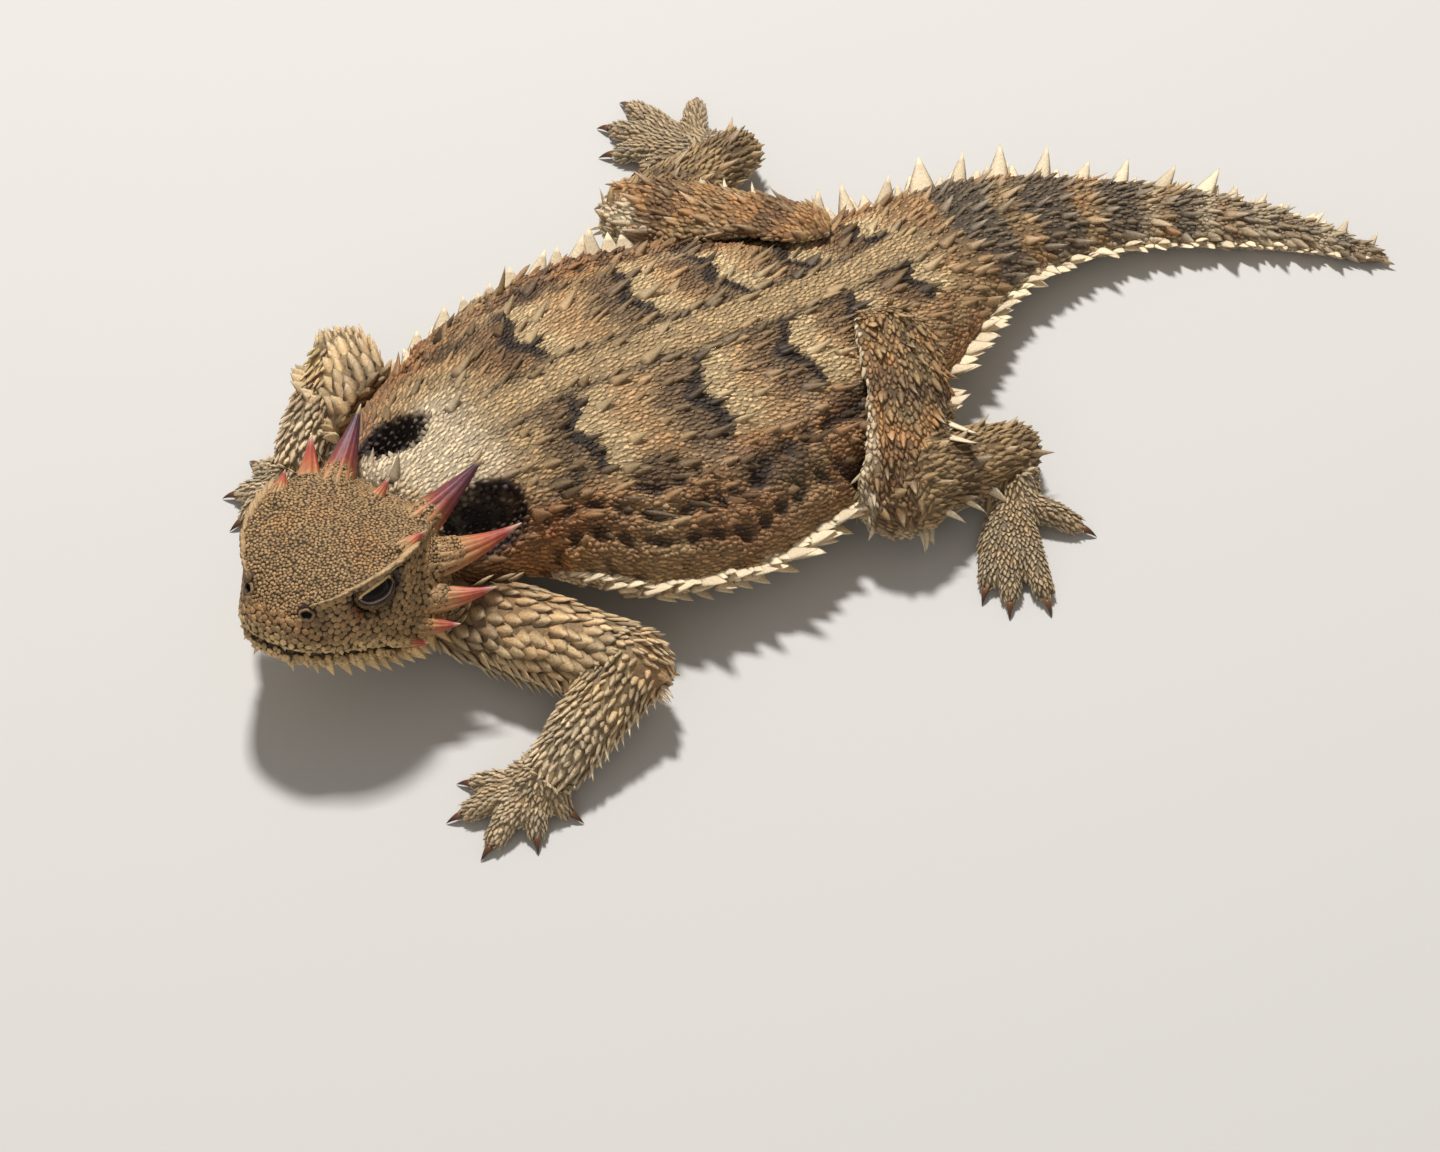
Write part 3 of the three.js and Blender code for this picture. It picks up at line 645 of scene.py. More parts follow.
def body_colour(points, normals):
    along, left, share, up = body_place(points)
    side, offset = np.abs(share), np.abs(left)
    wander = cloud(points, 5, 11)
    fine = cloud(points, 1.6, 12)
    colour = painted(
        TAN,
        (SAND, np.clip(0.4 + 0.7 * wander, 0, 1)),
        (ORANGE, 0.6 * band(offset, 4, 19, 2) * step(-0.3, 0.6, cloud(points, 8, 13))),
        (GREY, 0.55 * step(-0.1, 0.6, cloud(points, 6, 14)) * (1 - step(0.6, 0.8, side))),
        (RUST, 0.7 * band(side, 0.66, 0.99, 0.08) * step(-0.7, 0.3, wander)),
        (BROWN, 0.5 * step(0.0, 0.6, fine)),
    )
    back = (along < VENT + 4) * (up > 0)
    for place, beside, half in BLOTCHES:
        across = (offset - beside) / half
        scallop = 1.5 * np.abs(np.sin(across * 2.9 + 0.5)) + 1.4 * across ** 2 + 0.5 * fine
        behind = along - place + 1.5 - scallop
        inside = (1 - step(0.75, 1.05, np.abs(across) + 0.15 * fine)) * back
        dark = inside * band(behind, -2.4 + 1.2 * np.abs(across), 0.0, 0.35) * step(-0.9, 0.0, wander + 0.4)
        pale = inside * step(-0.1, 0.25, behind) * (1 - step(3.0, 10.5, behind))
        colour = painted(
            colour,
            (BROWN, 0.7 * inside * band(behind, -6.0, 0, 1.6)),
            (DARK, 0.9 * dark),
            (PATCH_TAN, 0.85 * pale),
            (ORANGE, 0.35 * inside * band(behind, 3.5, 8.5, 1.5)),
        )
    for place, beside, half in LOW_BLOTCHES:
        near = np.hypot((along - place) / 1.5, (offset - beside) / 0.9) + 1.2 * wander + 0.6 * fine
        colour = mix(colour, DARK, 0.7 * (1 - step(half * 0.4, half, near)) * back)
    line = np.exp(-((offset - 2.9 - 0.5 * wander) / 0.55) ** 2)
    stripe = 1 - step(1.2, 2.4, offset + 0.4 * fine)
    nape = (1 - step(-27, -19, along + 2 * wander)) * (1 - step(5.5, 9.5, offset + 1.5 * wander)) * (up > 0)
    tail = step(VENT - 2, VENT + 4, along)
    colour = painted(
        colour,
        (DARK, 0.6 * line * step(-24, -18, along) * (1 - step(38, 48, along)) * back),
        (SAND, 0.8 * stripe * (1 - step(40, 50, along)) * back),
        (CREAM, 0.8 * nape * step(-0.8, 0.2, fine + 0.3)),
        (mix(TAN * 0.74, ORANGE, 0.6 * step(-0.3, 0.6, wander)), tail * 0.7),
    )
    for place, half in TAIL_BANDS:
        inside = 1 - step(half * 0.6, half * 1.2, np.abs(along - place + 1.6 * fine - 1.5 * side))
        colour = mix(colour, mix(GREY, DARK, 0.65), 0.85 * inside)
    spots = step(0.35, 0.6, cloud(points, 2.6, 15))
    under = step(0.15, 0.55, -normals[:, 2]) * step(0.5, 2.5, -up)
    colour = painted(
        colour,
        (GREY, 0.5 * step(72, 84, along)),
        (PALE_GREY, 0.6 * step(0.2, 0.8, np.sin(along * 1.05)) * step(66, 78, along)),
        (CREAM, 0.75 * tail * step(0.72, 0.9, side) * step(-1.6, -0.4, -np.abs(up))),
        (CREAM, 0.9 * step(0.25, 0.5, side_edge(points) + 0.1 * fine)),
        # Painted shade: the creases of the flank folds are darkened.
        (DARK, 0.75 * step(0.15, 0.55, flank_folds(points))),
        (mix(BELLY, GREY, 0.5 * spots), under),
    )
    for ball in pocket_balls(points):
        colour = mix(colour, PURPLE_BLACK, 0.95 * (1 - step(0.95, 1.25, ball + 0.18 * fine)))
    return colour


def limb_colour(points, normals):
    limb, segment, share, _ = nearest_bone(points)
    fore, hind = limb < 2, limb > 1
    wander = cloud(points, 4, 21)
    fine = cloud(points, 1.3, 22)
    bars = np.sin(share * 9.5 + limb * 2.0 + 1.6 * wander)
    front = normals @ unit(np.array((-0.36, -0.93, 0.2)))
    inner = normals @ unit(np.array((-0.75, -0.6, 0.1)))
    crook = fore * (segment == 1) * (1 - step(0.15, 0.5, share)) * step(0.5, 0.85, inner)
    return painted(
        np.where(fore[:, None], SAND, LIMB_BROWN),
        (TAN, np.clip(0.5 + 0.8 * wander, 0, 1)),
        (ORANGE, 0.35 * fore * step(0.0, 0.5, cloud(points, 5, 26))),
        (PALE_GREY, 0.7 * fore * (segment > 0) * step(0.35, 0.8, share + 0.2 * wander)),
        (ORANGE, 0.6 * hind * (segment == 0) * step(-0.5, 0.4, wander)),
        (OLIVE, 0.35 * step(0.0, 0.5, fine)),
        (BROWN, 0.65 * step(0.35, 0.8, bars) * (segment < 2) * hind),
        (BROWN, 0.4 * step(0.5, 0.9, bars) * (segment < 2) * fore),
        (CREAM, 0.75 * hind * (segment == 0) * step(0.6, 0.8, front + 0.1 * fine)),
        (YELLOW, 0.7 * crook),
        (DARK, 0.7 * step(0.5, 0.7, cloud(points, 2.2, 24)) * hind),
        (BELLY, 0.85 * step(0.1, 0.7, -normals[:, 2])),
    )


def foot_colour(points, normals):
    hind = points[:, 1] > 0
    return painted(
        np.where(hind[:, None], FOOT_GREY, PALE_GREY),
        (TAN, np.clip(0.45 + 0.6 * cloud(points, 2, 31), 0, 1)),
        (GREY, 0.45 * step(0.1, 0.6, cloud(points, 1.4, 33))),
        (BELLY, step(0.1, 0.7, -normals[:, 2]) * 0.7),
    )


def head_colour(points, normals):
    local = to_head(points)
    f, z = local[:, 1], local[:, 2]
    over = z - mouth_height(f)
    facing_up = normals @ HEAD_AXES[:, 2]
    colour = painted(
        SNOUT_TAN,
        (CROWN_TAN, np.clip(0.5 + cloud(points, 3, 41), 0, 1)),
        (CROWN_TAN, 0.8 * step(0.35, 0.65, facing_up) * step(6.2, 7.5, z)),
        (ORANGE, 0.25 * step(0.1, 0.6, cloud(points, 5, 43))),
        (LIP_GOLD, 0.75 * band(over, 0.2, 1.6, 0.35) * (f > 3)),
        (LIP_GOLD, 0.7 * (1 - step(-0.6, 0.0, over)) * (f > 3)),
        # Painted shade: the mouth's carved groove is painted near black.
        (BLACK, 0.85 * (np.abs(over) < 0.28) * (f > MOUTH_LINE[0, 0])),
        (BELLY, 0.6 * step(0.5, 0.85, -facing_up)),
    )
    for side in (LEFT, RIGHT):
        gap = from_nostril(local, side)
        colour = painted(
            colour,
            # Painted shade: the nostril's hole is painted near black.
            (BLACK, 0.95 * (1 - step(0.75, 0.95, gap))),
            (BROWN, 0.6 * band(gap, 1.1, 1.5, 0.2)),
        )
        colour = eye_colour(colour, local, side)
    return colour


def eye_colour(colour, local, side):
    """Dark skin round the eye and a rusty spot before it, with painted shade behind the eye under the brow.
    """
    distance, a, b, outward = eye_view(local, side)
    near = (outward > 0) & (distance < 6) & (local[:, 2] < crown_top(local[:, 1]) - 0.6)
    return painted(
        colour,
        (LID_DARK, 0.9 * (1 - step(2.3, 3.2, np.hypot(a / 1.4, b + 0.3))) * near),
        # Painted shade: the recessed pocket under the brow behind the eye is darkened.
        (BROWN * 0.5, 0.8 * (1 - step(0.7, 1.15, brow_pocket(a, b, outward))) * near),
        (RUST, 0.7 * (1 - step(0.6, 1.2, np.hypot(a - 3.3, b + 1.5))) * near),
    )


def markings(points, normals, zone):
    """The lizard's colour at points of its surface. Skin and coat both take it from here."""
    colour = np.zeros(points.shape)
    makers = [body_colour, limb_colour, foot_colour, head_colour]
    for number, maker in enumerate(makers):
        here = zone == number
        if here.any():
            colour[here] = maker(points[here], normals[here])
    return colour


def flow(points, normals, zone):
    """The direction in which scales point, along the surface."""
    along, _, share, _ = body_place(points)
    bend = spine_bend(along)
    back = np.column_stack([np.sin(bend), np.cos(bend), np.zeros(len(points))])
    outward = np.column_stack([np.cos(bend), -np.sin(bend), np.zeros(len(points))]) * np.sign(share)[:, None]
    limb, _, _, bone = nearest_bone(points)
    heels, soles = (np.array([joints[k] for joints in LIMBS]) for k in (2, 3))
    head_side = np.sign(to_head(points)[:, 0])
    rear = np.column_stack([0.35 * head_side, -np.ones(len(points)), np.zeros(len(points))])
    ways = [
        back + outward * (0.45 * np.abs(share))[:, None],
        bone,
        points - (heels[limb] * 0.4 + soles[limb] * 0.6),
        rear @ HEAD_AXES.T,
    ]
    return unit(along_skin(np.choose(zone[:, None], ways), normals))


# Scale shapes: x across, y from root to tip, z over the skin. tip is 1 at the point, rim is 1 at the edge.

def tube_faces(rows, around, root, tip):
    """Triangles of a tube of rings that is closed at a root and a tip."""
    last = (rows - 1) * around
    faces = []
    for i in range(around):
        j = (i + 1) % around
        faces += [(root, i, j), (last + i, tip, last + j)]
        for a, b in zip(range(i, last, around), range(j, last, around)):
            faces += [(a, b + around, b), (a, a + around, b + around)]
    return np.array(faces)


def ring_quads(rows, around):
    """Quads of a surface that closes on itself both ways."""
    here = np.arange(rows * around).reshape(rows, around)
    below = np.roll(here, -1, axis=0)
    corners = [here, below, np.roll(below, -1, axis=1), np.roll(here, -1, axis=1)]
    return np.stack(corners, -1).reshape(-1, 4)


def keel_shape():
    """A pointed scale with a high keel, raised at the tip."""
    points = [
        (0, -0.4, 0), (-0.34, -0.2, 0), (0.34, -0.2, 0), (-0.5, 0.2, 0.02), (0.5, 0.2, 0.02),
        (-0.3, 0.62, 0.12), (0.3, 0.62, 0.12), (0, 1, 0.5), (0, -0.1, 0.35), (0, 0.4, 0.7),
        (0, 0.75, 0.72), (0, 0.2, -0.5),
    ]
    top = [
        (0, 8, 1), (1, 8, 3), (3, 8, 9), (3, 9, 5), (5, 9, 10), (5, 10, 7),
        (0, 2, 8), (2, 4, 8), (4, 9, 8), (4, 6, 9), (6, 10, 9), (6, 7, 10),
    ]
    rim = [0, 1, 3, 5, 7, 6, 4, 2]
    under = [(rim[i], rim[(i + 1) % 8], 11) for i in range(8)]
    points = np.array(points, float)
    edge = np.isin(np.arange(12), rim).astype(float)
    return points, np.array(top + under), np.clip(points[:, 1], 0, 1), edge


def dome_shape(corners=6):
    """A low many-sided granule with a flat top."""
    angles = np.arange(corners) * 2 * math.pi / corners
    ring = np.column_stack([np.cos(angles) * 0.5, np.sin(angles) * 0.5])
    rim = np.column_stack([ring, np.full(corners, -0.3)])
    brow = np.column_stack([ring * 0.78, np.full(corners, 0.75)])
    points = np.vstack([rim, brow, (0, 0, 1), (0, 0, -0.6)])
    faces = []
    for i in range(corners):
        j = (i + 1) % corners
        faces += [(i, j, corners + j), (i, corners + j, corners + i)]
        faces += [(corners + i, corners + j, 2 * corners), (j, i, 2 * corners + 1)]
    edge = (points[:, 2] < 0).astype(float)
    return points, np.array(faces), np.zeros(len(points)), edge


def flake_shape():
    """A small flat scale with a slight keel."""
    points = np.array([
        (0, -0.5, 0), (0.45, -0.2, 0), (0.45, 0.25, 0), (0, 0.65, 0.2), (-0.45, 0.25, 0), (-0.45, -0.2, 0),
        (0, -0.15, 0.6), (0, 0.35, 0.8), (0, 0, -0.4),
    ])
    top = [(0, 1, 6), (1, 2, 6), (2, 7, 6), (2, 3, 7), (3, 4, 7), (4, 6, 7), (4, 5, 6), (5, 0, 6)]
    under = [((i + 1) % 6, i, 8) for i in range(6)]
    edge = (np.arange(9) < 6).astype(float)
    return points, np.array(top + under), np.clip(points[:, 1] + 0.2, 0, 1), edge


def thorn_shape():
    """A broad keeled thorn, rising from its root to a sharp tip."""
    section = [(1, 0), (0.55, 0.6), (0, 1), (-0.55, 0.6), (-1, 0), (0, -0.45)]
    rows = [
        (-0.12, 0.42, 0.3, 0), (0.12, 0.5, 0.42, 0.03), (0.42, 0.36, 0.34, 0.28), (0.74, 0.17, 0.17, 0.62),
    ]
    points = []
    for along, wide, thick, rise in rows:
        points += [(across * wide, along, rise + up * thick) for across, up in section]
    points = np.array(points + [(0, -0.2, -0.1), (0, 1, 1)], float)
    faces = tube_faces(len(rows), len(section), len(points) - 2, len(points) - 1)
    return points, faces, np.clip(points[:, 1], 0, 1), (points[:, 1] < 0).astype(float)


KEEL = keel_shape()
FLAKE = flake_shape()
DOME = dome_shape()
GRAIN = dome_shape(5)
THORN = thorn_shape()

PATCH = 0.0024  # how far a scale's own map reaches round its root's place on the unwrap
SKIN_SHADE = 0.5  # painted shade: the skin between scales is darkened to this share of its colour, against the scales
# Painted shade: on the head the skin in the pits between granules is darkened further.
HEAD_SKIN_SHADE = 0.16
SKIN_FLOOR_GAP = 0.1
FLOOR_GAP = 0.02  # the lowest scales end this far over the floor


def atlas(points, zone):
    """Places on an unwrap of the skin: round the spine, the head's axis and each limb's bones.

    The body has the lower left of the map, the head the lower right, the limbs the upper left and the
    feet the upper right.
    """
    along, left, _, up = body_place(points)
    turn = np.arctan2(up, left) / (2 * math.pi) + 0.5
    u = 0.01 + 0.56 * (along + 46) / 146
    v = 0.01 + 0.62 * turn
    local = to_head(points)
    turn = np.arctan2(local[:, 2] - 2, local[:, 0]) / (2 * math.pi) + 0.5
    u = np.where(zone == HEAD, 0.6 + 0.38 * np.clip((local[:, 1] + 8) / 34, 0, 1), u)
    v = np.where(zone == HEAD, 0.01 + 0.6 * turn, v)
    limb, segment, part, bone = nearest_bone(points)
    joints = np.array(LIMBS)
    centre = joints[limb, segment] * (1 - part[:, None]) + joints[limb, segment + 1] * part[:, None]
    across = unit(np.cross(bone, (0.0, 0.0, 1.0)))
    turn = np.arctan2(points[:, 2] - centre[:, 2], np.sum((points - centre) * across, axis=1))
    column = 0.01 + 0.08 * (limb * 2 + np.minimum(segment, 1))
    u = np.where(zone == LIMB, column + 0.07 * part, u)
    v = np.where(zone == LIMB, 0.67 + 0.3 * (turn / (2 * math.pi) + 0.5), v)
    sole = joints[limb, 3]
    upper = (points[:, 2] > 1.4) * 0.16
    beside, forward = np.clip((points - sole)[:, :2].T / 26 + 0.5, 0, 1)
    u = np.where(zone == FOOT, 0.66 + 0.08 * limb + 0.07 * beside, u)
    v = np.where(zone == FOOT, 0.66 + upper + 0.15 * forward, v)
    return np.column_stack([np.clip(u, 0.005, 0.995), np.clip(v, 0.005, 0.995)])


class Coat:
    """Scales gathered into one piece."""

    def __init__(self, name, material):
        self.name = name
        self.material = material
        self.batches = []
        self.total = 0

    def add(self, shape, roots, normals, directions, colours, size, lean=0.2, sink=0.1, tip=None,
            tip_share=0.5, rim_shade=0.45, zone=BODY, seed=0, vary=0.18, spin=0.22, glow=1.0, mottle=0.22):
        """Scales of one shape at the roots. size is across, along and high, numbers or one per scale."""
        template, faces, tipness, edge = shape
        count = len(roots)
        if not count:
            return
        random = np.random.default_rng(SEED + seed)
        grow = 1 + vary * random.uniform(-1, 1, (count, 3))
        scale = np.column_stack([np.broadcast_to(value, count) for value in size]) * grow
        lean = np.broadcast_to(lean, count) + 0.08 * random.uniform(-1, 1, count)
        spin = spin * random.uniform(-1, 1, count)
        across = np.cross(directions, normals)
        heading = directions * np.cos(spin)[:, None] + across * np.sin(spin)[:, None]
        forward = heading * np.cos(lean)[:, None] + normals * np.sin(lean)[:, None]
        upward = normals * np.cos(lean)[:, None] - heading * np.sin(lean)[:, None]
        sideways = np.cross(forward, upward)
        local = template[None] * scale[:, None, :]
        points = (
            roots[:, None]
            + local[..., :1] * sideways[:, None]
            + local[..., 1:2] * forward[:, None]
            + local[..., 2:] * upward[:, None]
            - normals[:, None] * sink
        )
        tone = glow * (1 + mottle * random.uniform(-1, 1, (count, 1, 1)))
        colour = np.repeat(colours[:, None], len(template), axis=1) * tone
        if tip is not None:
            colour = mix(colour, np.asarray(tip), tip_share * tipness ** 1.5)
        # Painted shade: rim_shade darkens each scale's rim where it meets the skin, less towards the tip.
        colour = colour * (1 - rim_shade * edge * (1 - tipness))[None, :, None]
        centred = template[None, :, :2] - (0, 0.3)
        patch = atlas(roots, np.broadcast_to(zone, count))[:, None] + centred * PATCH
        order = faces + (self.total + np.arange(count) * len(template))[:, None, None]
        self.total += count * len(template)
        self.batches.append([part.reshape(-1, part.shape[-1]) for part in (points, order, colour, patch)])

    def build(self):
        points, faces, colours, patches = (np.concatenate(part) for part in zip(*self.batches))
        points[:, 2] = np.maximum(points[:, 2], FLOOR_GAP)
        piece = new_object(self.name, points, faces)
        set_colours(piece, np.clip(colours, 0, 1))
        layer = piece.data.uv_layers.new(name="OFBake")
        layer.data.foreach_set("uv", patches[faces.ravel()].ravel())
        hand_over(piece, self.material, smooth=False)


def new_coat(name, *look):
    return Coat(name, tinted_material(name, *look))


# Spots for scales

TRIES = 6  # places drawn for each that can be kept


def spots_on(surface, mask, spacing, seed):
    """Evenly spread places on the skin's faces under mask, about spacing apart, which may vary by face."""
    points, faces, normals = surface
    chosen = faces[mask]
    a, b, c, d = (points[chosen[:, k]] for k in range(4))
    spacing = np.broadcast_to(spacing, len(faces))[mask]
    area = np.linalg.norm(np.cross(c - a, d - b), axis=1) / 2
    chance = area / spacing ** 2
    random = np.random.default_rng(SEED + seed)
    count = int(chance.sum() * TRIES)
    if not count:
        return np.zeros((0, 3)), np.zeros((0, 3))
    pick = random.choice(len(chosen), count, p=chance / chance.sum())
    s, t = random.random((2, count, 1))
    weights = [(1 - s) * (1 - t), s * (1 - t), s * t, (1 - s) * t]
    places = sum(weight * points[chosen[pick, k]] for k, weight in enumerate(weights))
    facing = unit(sum(weight * normals[chosen[pick, k]] for k, weight in enumerate(weights)))
    tree = tree_of(places)
    free = np.ones(count, bool)
    kept = []
    gaps = spacing[pick]
    for i in range(count):
        if free[i]:
            kept.append(i)
            for _, j, _ in tree.find_range(places[i], gaps[i]):
                free[j] = False
    return places[kept], facing[kept]


MEAN_GAP = 1.15  # the usual gap between neighbours, in spacings


def neighbour_gaps(places):
    """The mean distance from each place to the four nearest others."""
    tree = tree_of(places)
    return np.array([sum(found[2] for found in tree.find_n(place, 5)) / 4 for place in places])


class Surface:
    """The skin's mesh as arrays, with zones and places on the body for its faces."""

    def __init__(self, points, faces, fields):
        self.points = points
        self.faces = faces
        self.fields = fields
        self.normals = vertex_normals(points, faces)
        self.zone = zone_of(points, fields)
        self.centres = points[faces].mean(axis=1)
        self.facing = unit(self.normals[faces].mean(axis=1))
        self.face_zone = self.zone[faces[:, 0]]
        self.along, self.left, self.share, self.up = body_place(self.centres)
        self.head = to_head(self.centres)
        self.tree = tree_of(points)

    def spread(self, coat, shape, mask, spacing, seed, fit=False, **look):
        """Scales all over the faces under mask. With fit, each fills the room its neighbours leave."""
        places, normals = spots_on((self.points, self.faces, self.normals), mask, spacing, seed)
        if fit:
            room = neighbour_gaps(places) / spacing / MEAN_GAP
            look["size"] = [value * room for value in look["size"]]
        self.dress(coat, shape, places, normals, seed=seed, **look)

    def dress(self, coat, shape, places, normals, seed=0, directions=None, zone=None, paint=None, **look):
        if not len(places):
            return
        if zone is None:
            zone = zone_of(places, self.fields)
        if directions is None:
            directions = flow(places, normals, zone)
        colours = markings(places, normals, zone) if paint is None else np.broadcast_to(paint, places.shape)
        coat.add(shape, places, normals, directions, colours, zone=zone, seed=seed, **look)

    def nearest(self, places):
        """The skin's points and normals nearest to some places."""
        found = [self.tree.find(place)[1] for place in places]
        return self.points[found], self.normals[found]


# Materials

def set_inputs(node, values):
    for name, value in values.items():
        node.inputs[name].default_value = value


def new_material(name, inputs):
    """A material and its shader, with some of the shader's inputs set."""
    material = bpy.data.materials.new(name)
    material.use_nodes = True
    shader = material.node_tree.nodes["Principled BSDF"]
    set_inputs(shader, inputs)
    return material, shader


def tinted_material(name, roughness, grain, bump, speckle):
    """The painted tint with a fine grain of its own, and a matching bump."""
    material, shader = new_material(name, {"Roughness": roughness, "Specular IOR Level": 0.35})
    nodes = material.node_tree.nodes
    link = material.node_tree.links.new
    tint = nodes.new("ShaderNodeVertexColor")
    tint.layer_name = "tint"
    place = nodes.new("ShaderNodeTexCoord")
    fine = nodes.new("ShaderNodeTexNoise")
    set_inputs(fine, {"Scale": grain, "Detail": 4})
    link(place.outputs["Object"], fine.inputs["Vector"])
    spread = nodes.new("ShaderNodeMapRange")
    set_inputs(spread, {"From Min": 0.3, "From Max": 0.7, "To Min": 1 - speckle, "To Max": 1 + speckle})
    link(fine.outputs["Fac"], spread.inputs["Value"])
    shade = nodes.new("ShaderNodeVectorMath")
    shade.operation = "SCALE"
    link(tint.outputs["Color"], shade.inputs[0])
    link(spread.outputs["Result"], shade.inputs["Scale"])
    link(shade.outputs["Vector"], shader.inputs["Base Color"])
    relief = nodes.new("ShaderNodeBump")
    set_inputs(relief, {"Strength": bump, "Distance": 0.0002})
    link(fine.outputs["Fac"], relief.inputs["Height"])
    link(relief.outputs["Normal"], shader.inputs["Normal"])
    return material


# Skin and coat

def make_skin():
    fields = make_fields()
    points, quads = surface_of(join_fields(fields))
    points = points.astype(float)
    points[:, 2] = np.maximum(points[:, 2], SKIN_FLOOR_GAP)
    surface = Surface(points, quads.astype(np.int64), fields)
    skin = new_object("skin", points, quads)
    tint = markings(points, surface.normals, surface.zone)
    # Painted shade: the skin that shows between the scales is darkened, most of all on the head.
    shade = np.where(surface.zone == HEAD, HEAD_SKIN_SHADE, SKIN_SHADE)
    set_colours(skin, tint * shade[:, None])
    hand_over(skin, tinted_material("skin", 0.75, 2600, 0.6, 0.3), FLESH_NODES)
    return surface


def in_pockets(places, reach):
    return np.any([ball < reach for ball in pocket_balls(places)], axis=0)


def coat_trunk(surface):
    coat = new_coat("trunk_scales", 0.6, 3500, 0.4, 0.22)
    on_trunk = (surface.face_zone == BODY) & (surface.along < VENT)
    pocket = in_pockets(surface.centres, 1.12)
    upper = on_trunk & (surface.facing[:, 2] > -0.3)
    open_skin = upper & ~pocket
    surface.spread(coat, FLAKE, open_skin, 0.53, 1, size=(0.66, 1.0, 0.24), lean=0.12, sink=0.03,
                   vary=0.35, mottle=0.3)
    brightness = markings(surface.centres, surface.facing, surface.face_zone).sum(axis=1)
    dark_back = open_skin & (np.abs(surface.share) < 0.88) & (brightness < 0.9)
    surface.spread(coat, KEEL, dark_back, 2.6, 2, size=(1.3, 2.3, 0.6), lean=0.16, sink=0.1, vary=0.35,
                   rim_shade=0.7, tip=OLIVE, tip_share=0.4)
    surface.spread(coat, FLAKE, pocket & upper, 0.8, 3, size=(0.6, 1.0, 0.9), lean=0.6, sink=0.05, vary=0.3)
    surface.spread(coat, GRAIN, on_trunk & ~upper, 1.05, 4, size=(1.05, 1.2, 0.22), lean=0.05, sink=0.05)
    coat.build()


def coat_tail(surface):
    coat = new_coat("tail_scales", 0.6, 3500, 0.4, 0.22)
    on_tail = (surface.face_zone == BODY) & (surface.along >= VENT)
    upper = on_tail & (surface.facing[:, 2] > -0.3)
    small = 0.55 + 0.45 * (1 - step(55, 95, surface.along))
    surface.spread(coat, FLAKE, upper, 0.68 * small, 5, size=(0.68, 0.88, 0.26), lean=0.14, sink=0.03,
                   vary=0.35, mottle=0.3)
    surface.spread(coat, KEEL, upper, 1.7 * small, 26, size=(1.1, 1.7, 0.5), lean=0.24, sink=0.08, tip=SAND,
                   tip_share=0.5, vary=0.35, rim_shade=0.6)
    surface.spread(coat, GRAIN, on_tail & ~upper, small, 6, size=(1.0, 1.1, 0.22), lean=0.05, sink=0.05)
    coat.build()


def coat_limbs(surface):
    coat = new_coat("limb_scales", 0.6, 3500, 0.4, 0.22)
    on_limb = surface.face_zone == LIMB
    upper = on_limb & (surface.facing[:, 2] > -0.35)
    limb, segment, share, _ = nearest_bone(surface.centres)
    fore, hind = upper & (limb < 2), upper & (limb > 1)
    shields = fore & (segment == 0) & (share < 0.9)
    thigh = hind & (segment == 0)
    surface.spread(coat, KEEL, shields, 1.35, 7, size=(2.2, 2.5, 0.5), lean=0.1, sink=0.08, tip=CREAM,
                   tip_share=0.45, rim_shade=0.75, glow=1.25, mottle=0.3)
    surface.spread(coat, FLAKE, thigh, 0.62, 8, size=(0.8, 1.1, 0.26), lean=0.14, sink=0.03, vary=0.35,
                   mottle=0.3)
    surface.spread(coat, KEEL, thigh, 2.0, 27, size=(1.2, 1.9, 0.5), lean=0.22, sink=0.08, tip=SAND,
                   tip_share=0.4, vary=0.35, rim_shade=0.65)
    surface.spread(coat, KEEL, fore & ~shields, 0.82, 9, size=(0.95, 1.5, 0.4), lean=0.3, sink=0.06,
                   tip=CREAM, tip_share=0.65, vary=0.35, rim_shade=0.6, mottle=0.35, glow=1.25)
    surface.spread(coat, KEEL, hind & ~thigh, 0.7, 28, size=(0.8, 1.25, 0.32), lean=0.2, sink=0.05, tip=SAND,
                   tip_share=0.4, vary=0.35, rim_shade=0.6, mottle=0.35)
    surface.spread(coat, GRAIN, on_limb & ~upper, 0.85, 10, size=(0.9, 1.1, 0.3), lean=0.05, sink=0.05)
    on_foot = surface.face_zone == FOOT
    surface.spread(coat, KEEL, on_foot, 0.5, 11, size=(0.72, 0.85, 0.24), lean=0.24, sink=0.04, tip=CREAM,
                   tip_share=0.45, rim_shade=0.6, mottle=0.35)
    coat.build()


def coat_head(surface):
    coat = new_coat("head_scales", 0.55, 5000, 0.5, 0.25)
    height = surface.head[:, 2]
    under_rim = height < crown_top(surface.head[:, 1]) - 0.7
    bare = np.zeros(len(height), bool)
    for side in (LEFT, RIGHT):
        distance, a, b, outward = eye_view(surface.head, side)
        bare |= (distance < 5.5) & (np.hypot(a / 1.4, b) < 2.2) & (outward > 0) & under_rim
        bare |= from_nostril(surface.head, side) < 1.2
    scaly = (surface.face_zone == HEAD) & ~bare
    crown = scaly & (surface.facing @ HEAD_AXES[:, 2] > 0.35) & (height > 4.5)
    look = {"fit": True, "sink": 0.0, "spin": 3.0, "rim_shade": 0.8, "vary": 0.15, "glow": 1.02}
    surface.spread(coat, GRAIN, crown, 0.33, 12, size=(0.44, 0.5, 0.14), lean=0.0, mottle=0.4, **look)
    face = scaly & ~crown
    surface.spread(coat, DOME, face, 0.54, 13, size=(0.84, 0.88, 0.14), lean=0.1, mottle=0.35, **look)
    add_rim_scales(surface, coat)
    add_horn_collars(surface, coat)
    add_lip_scales(surface, coat)
    coat.build()


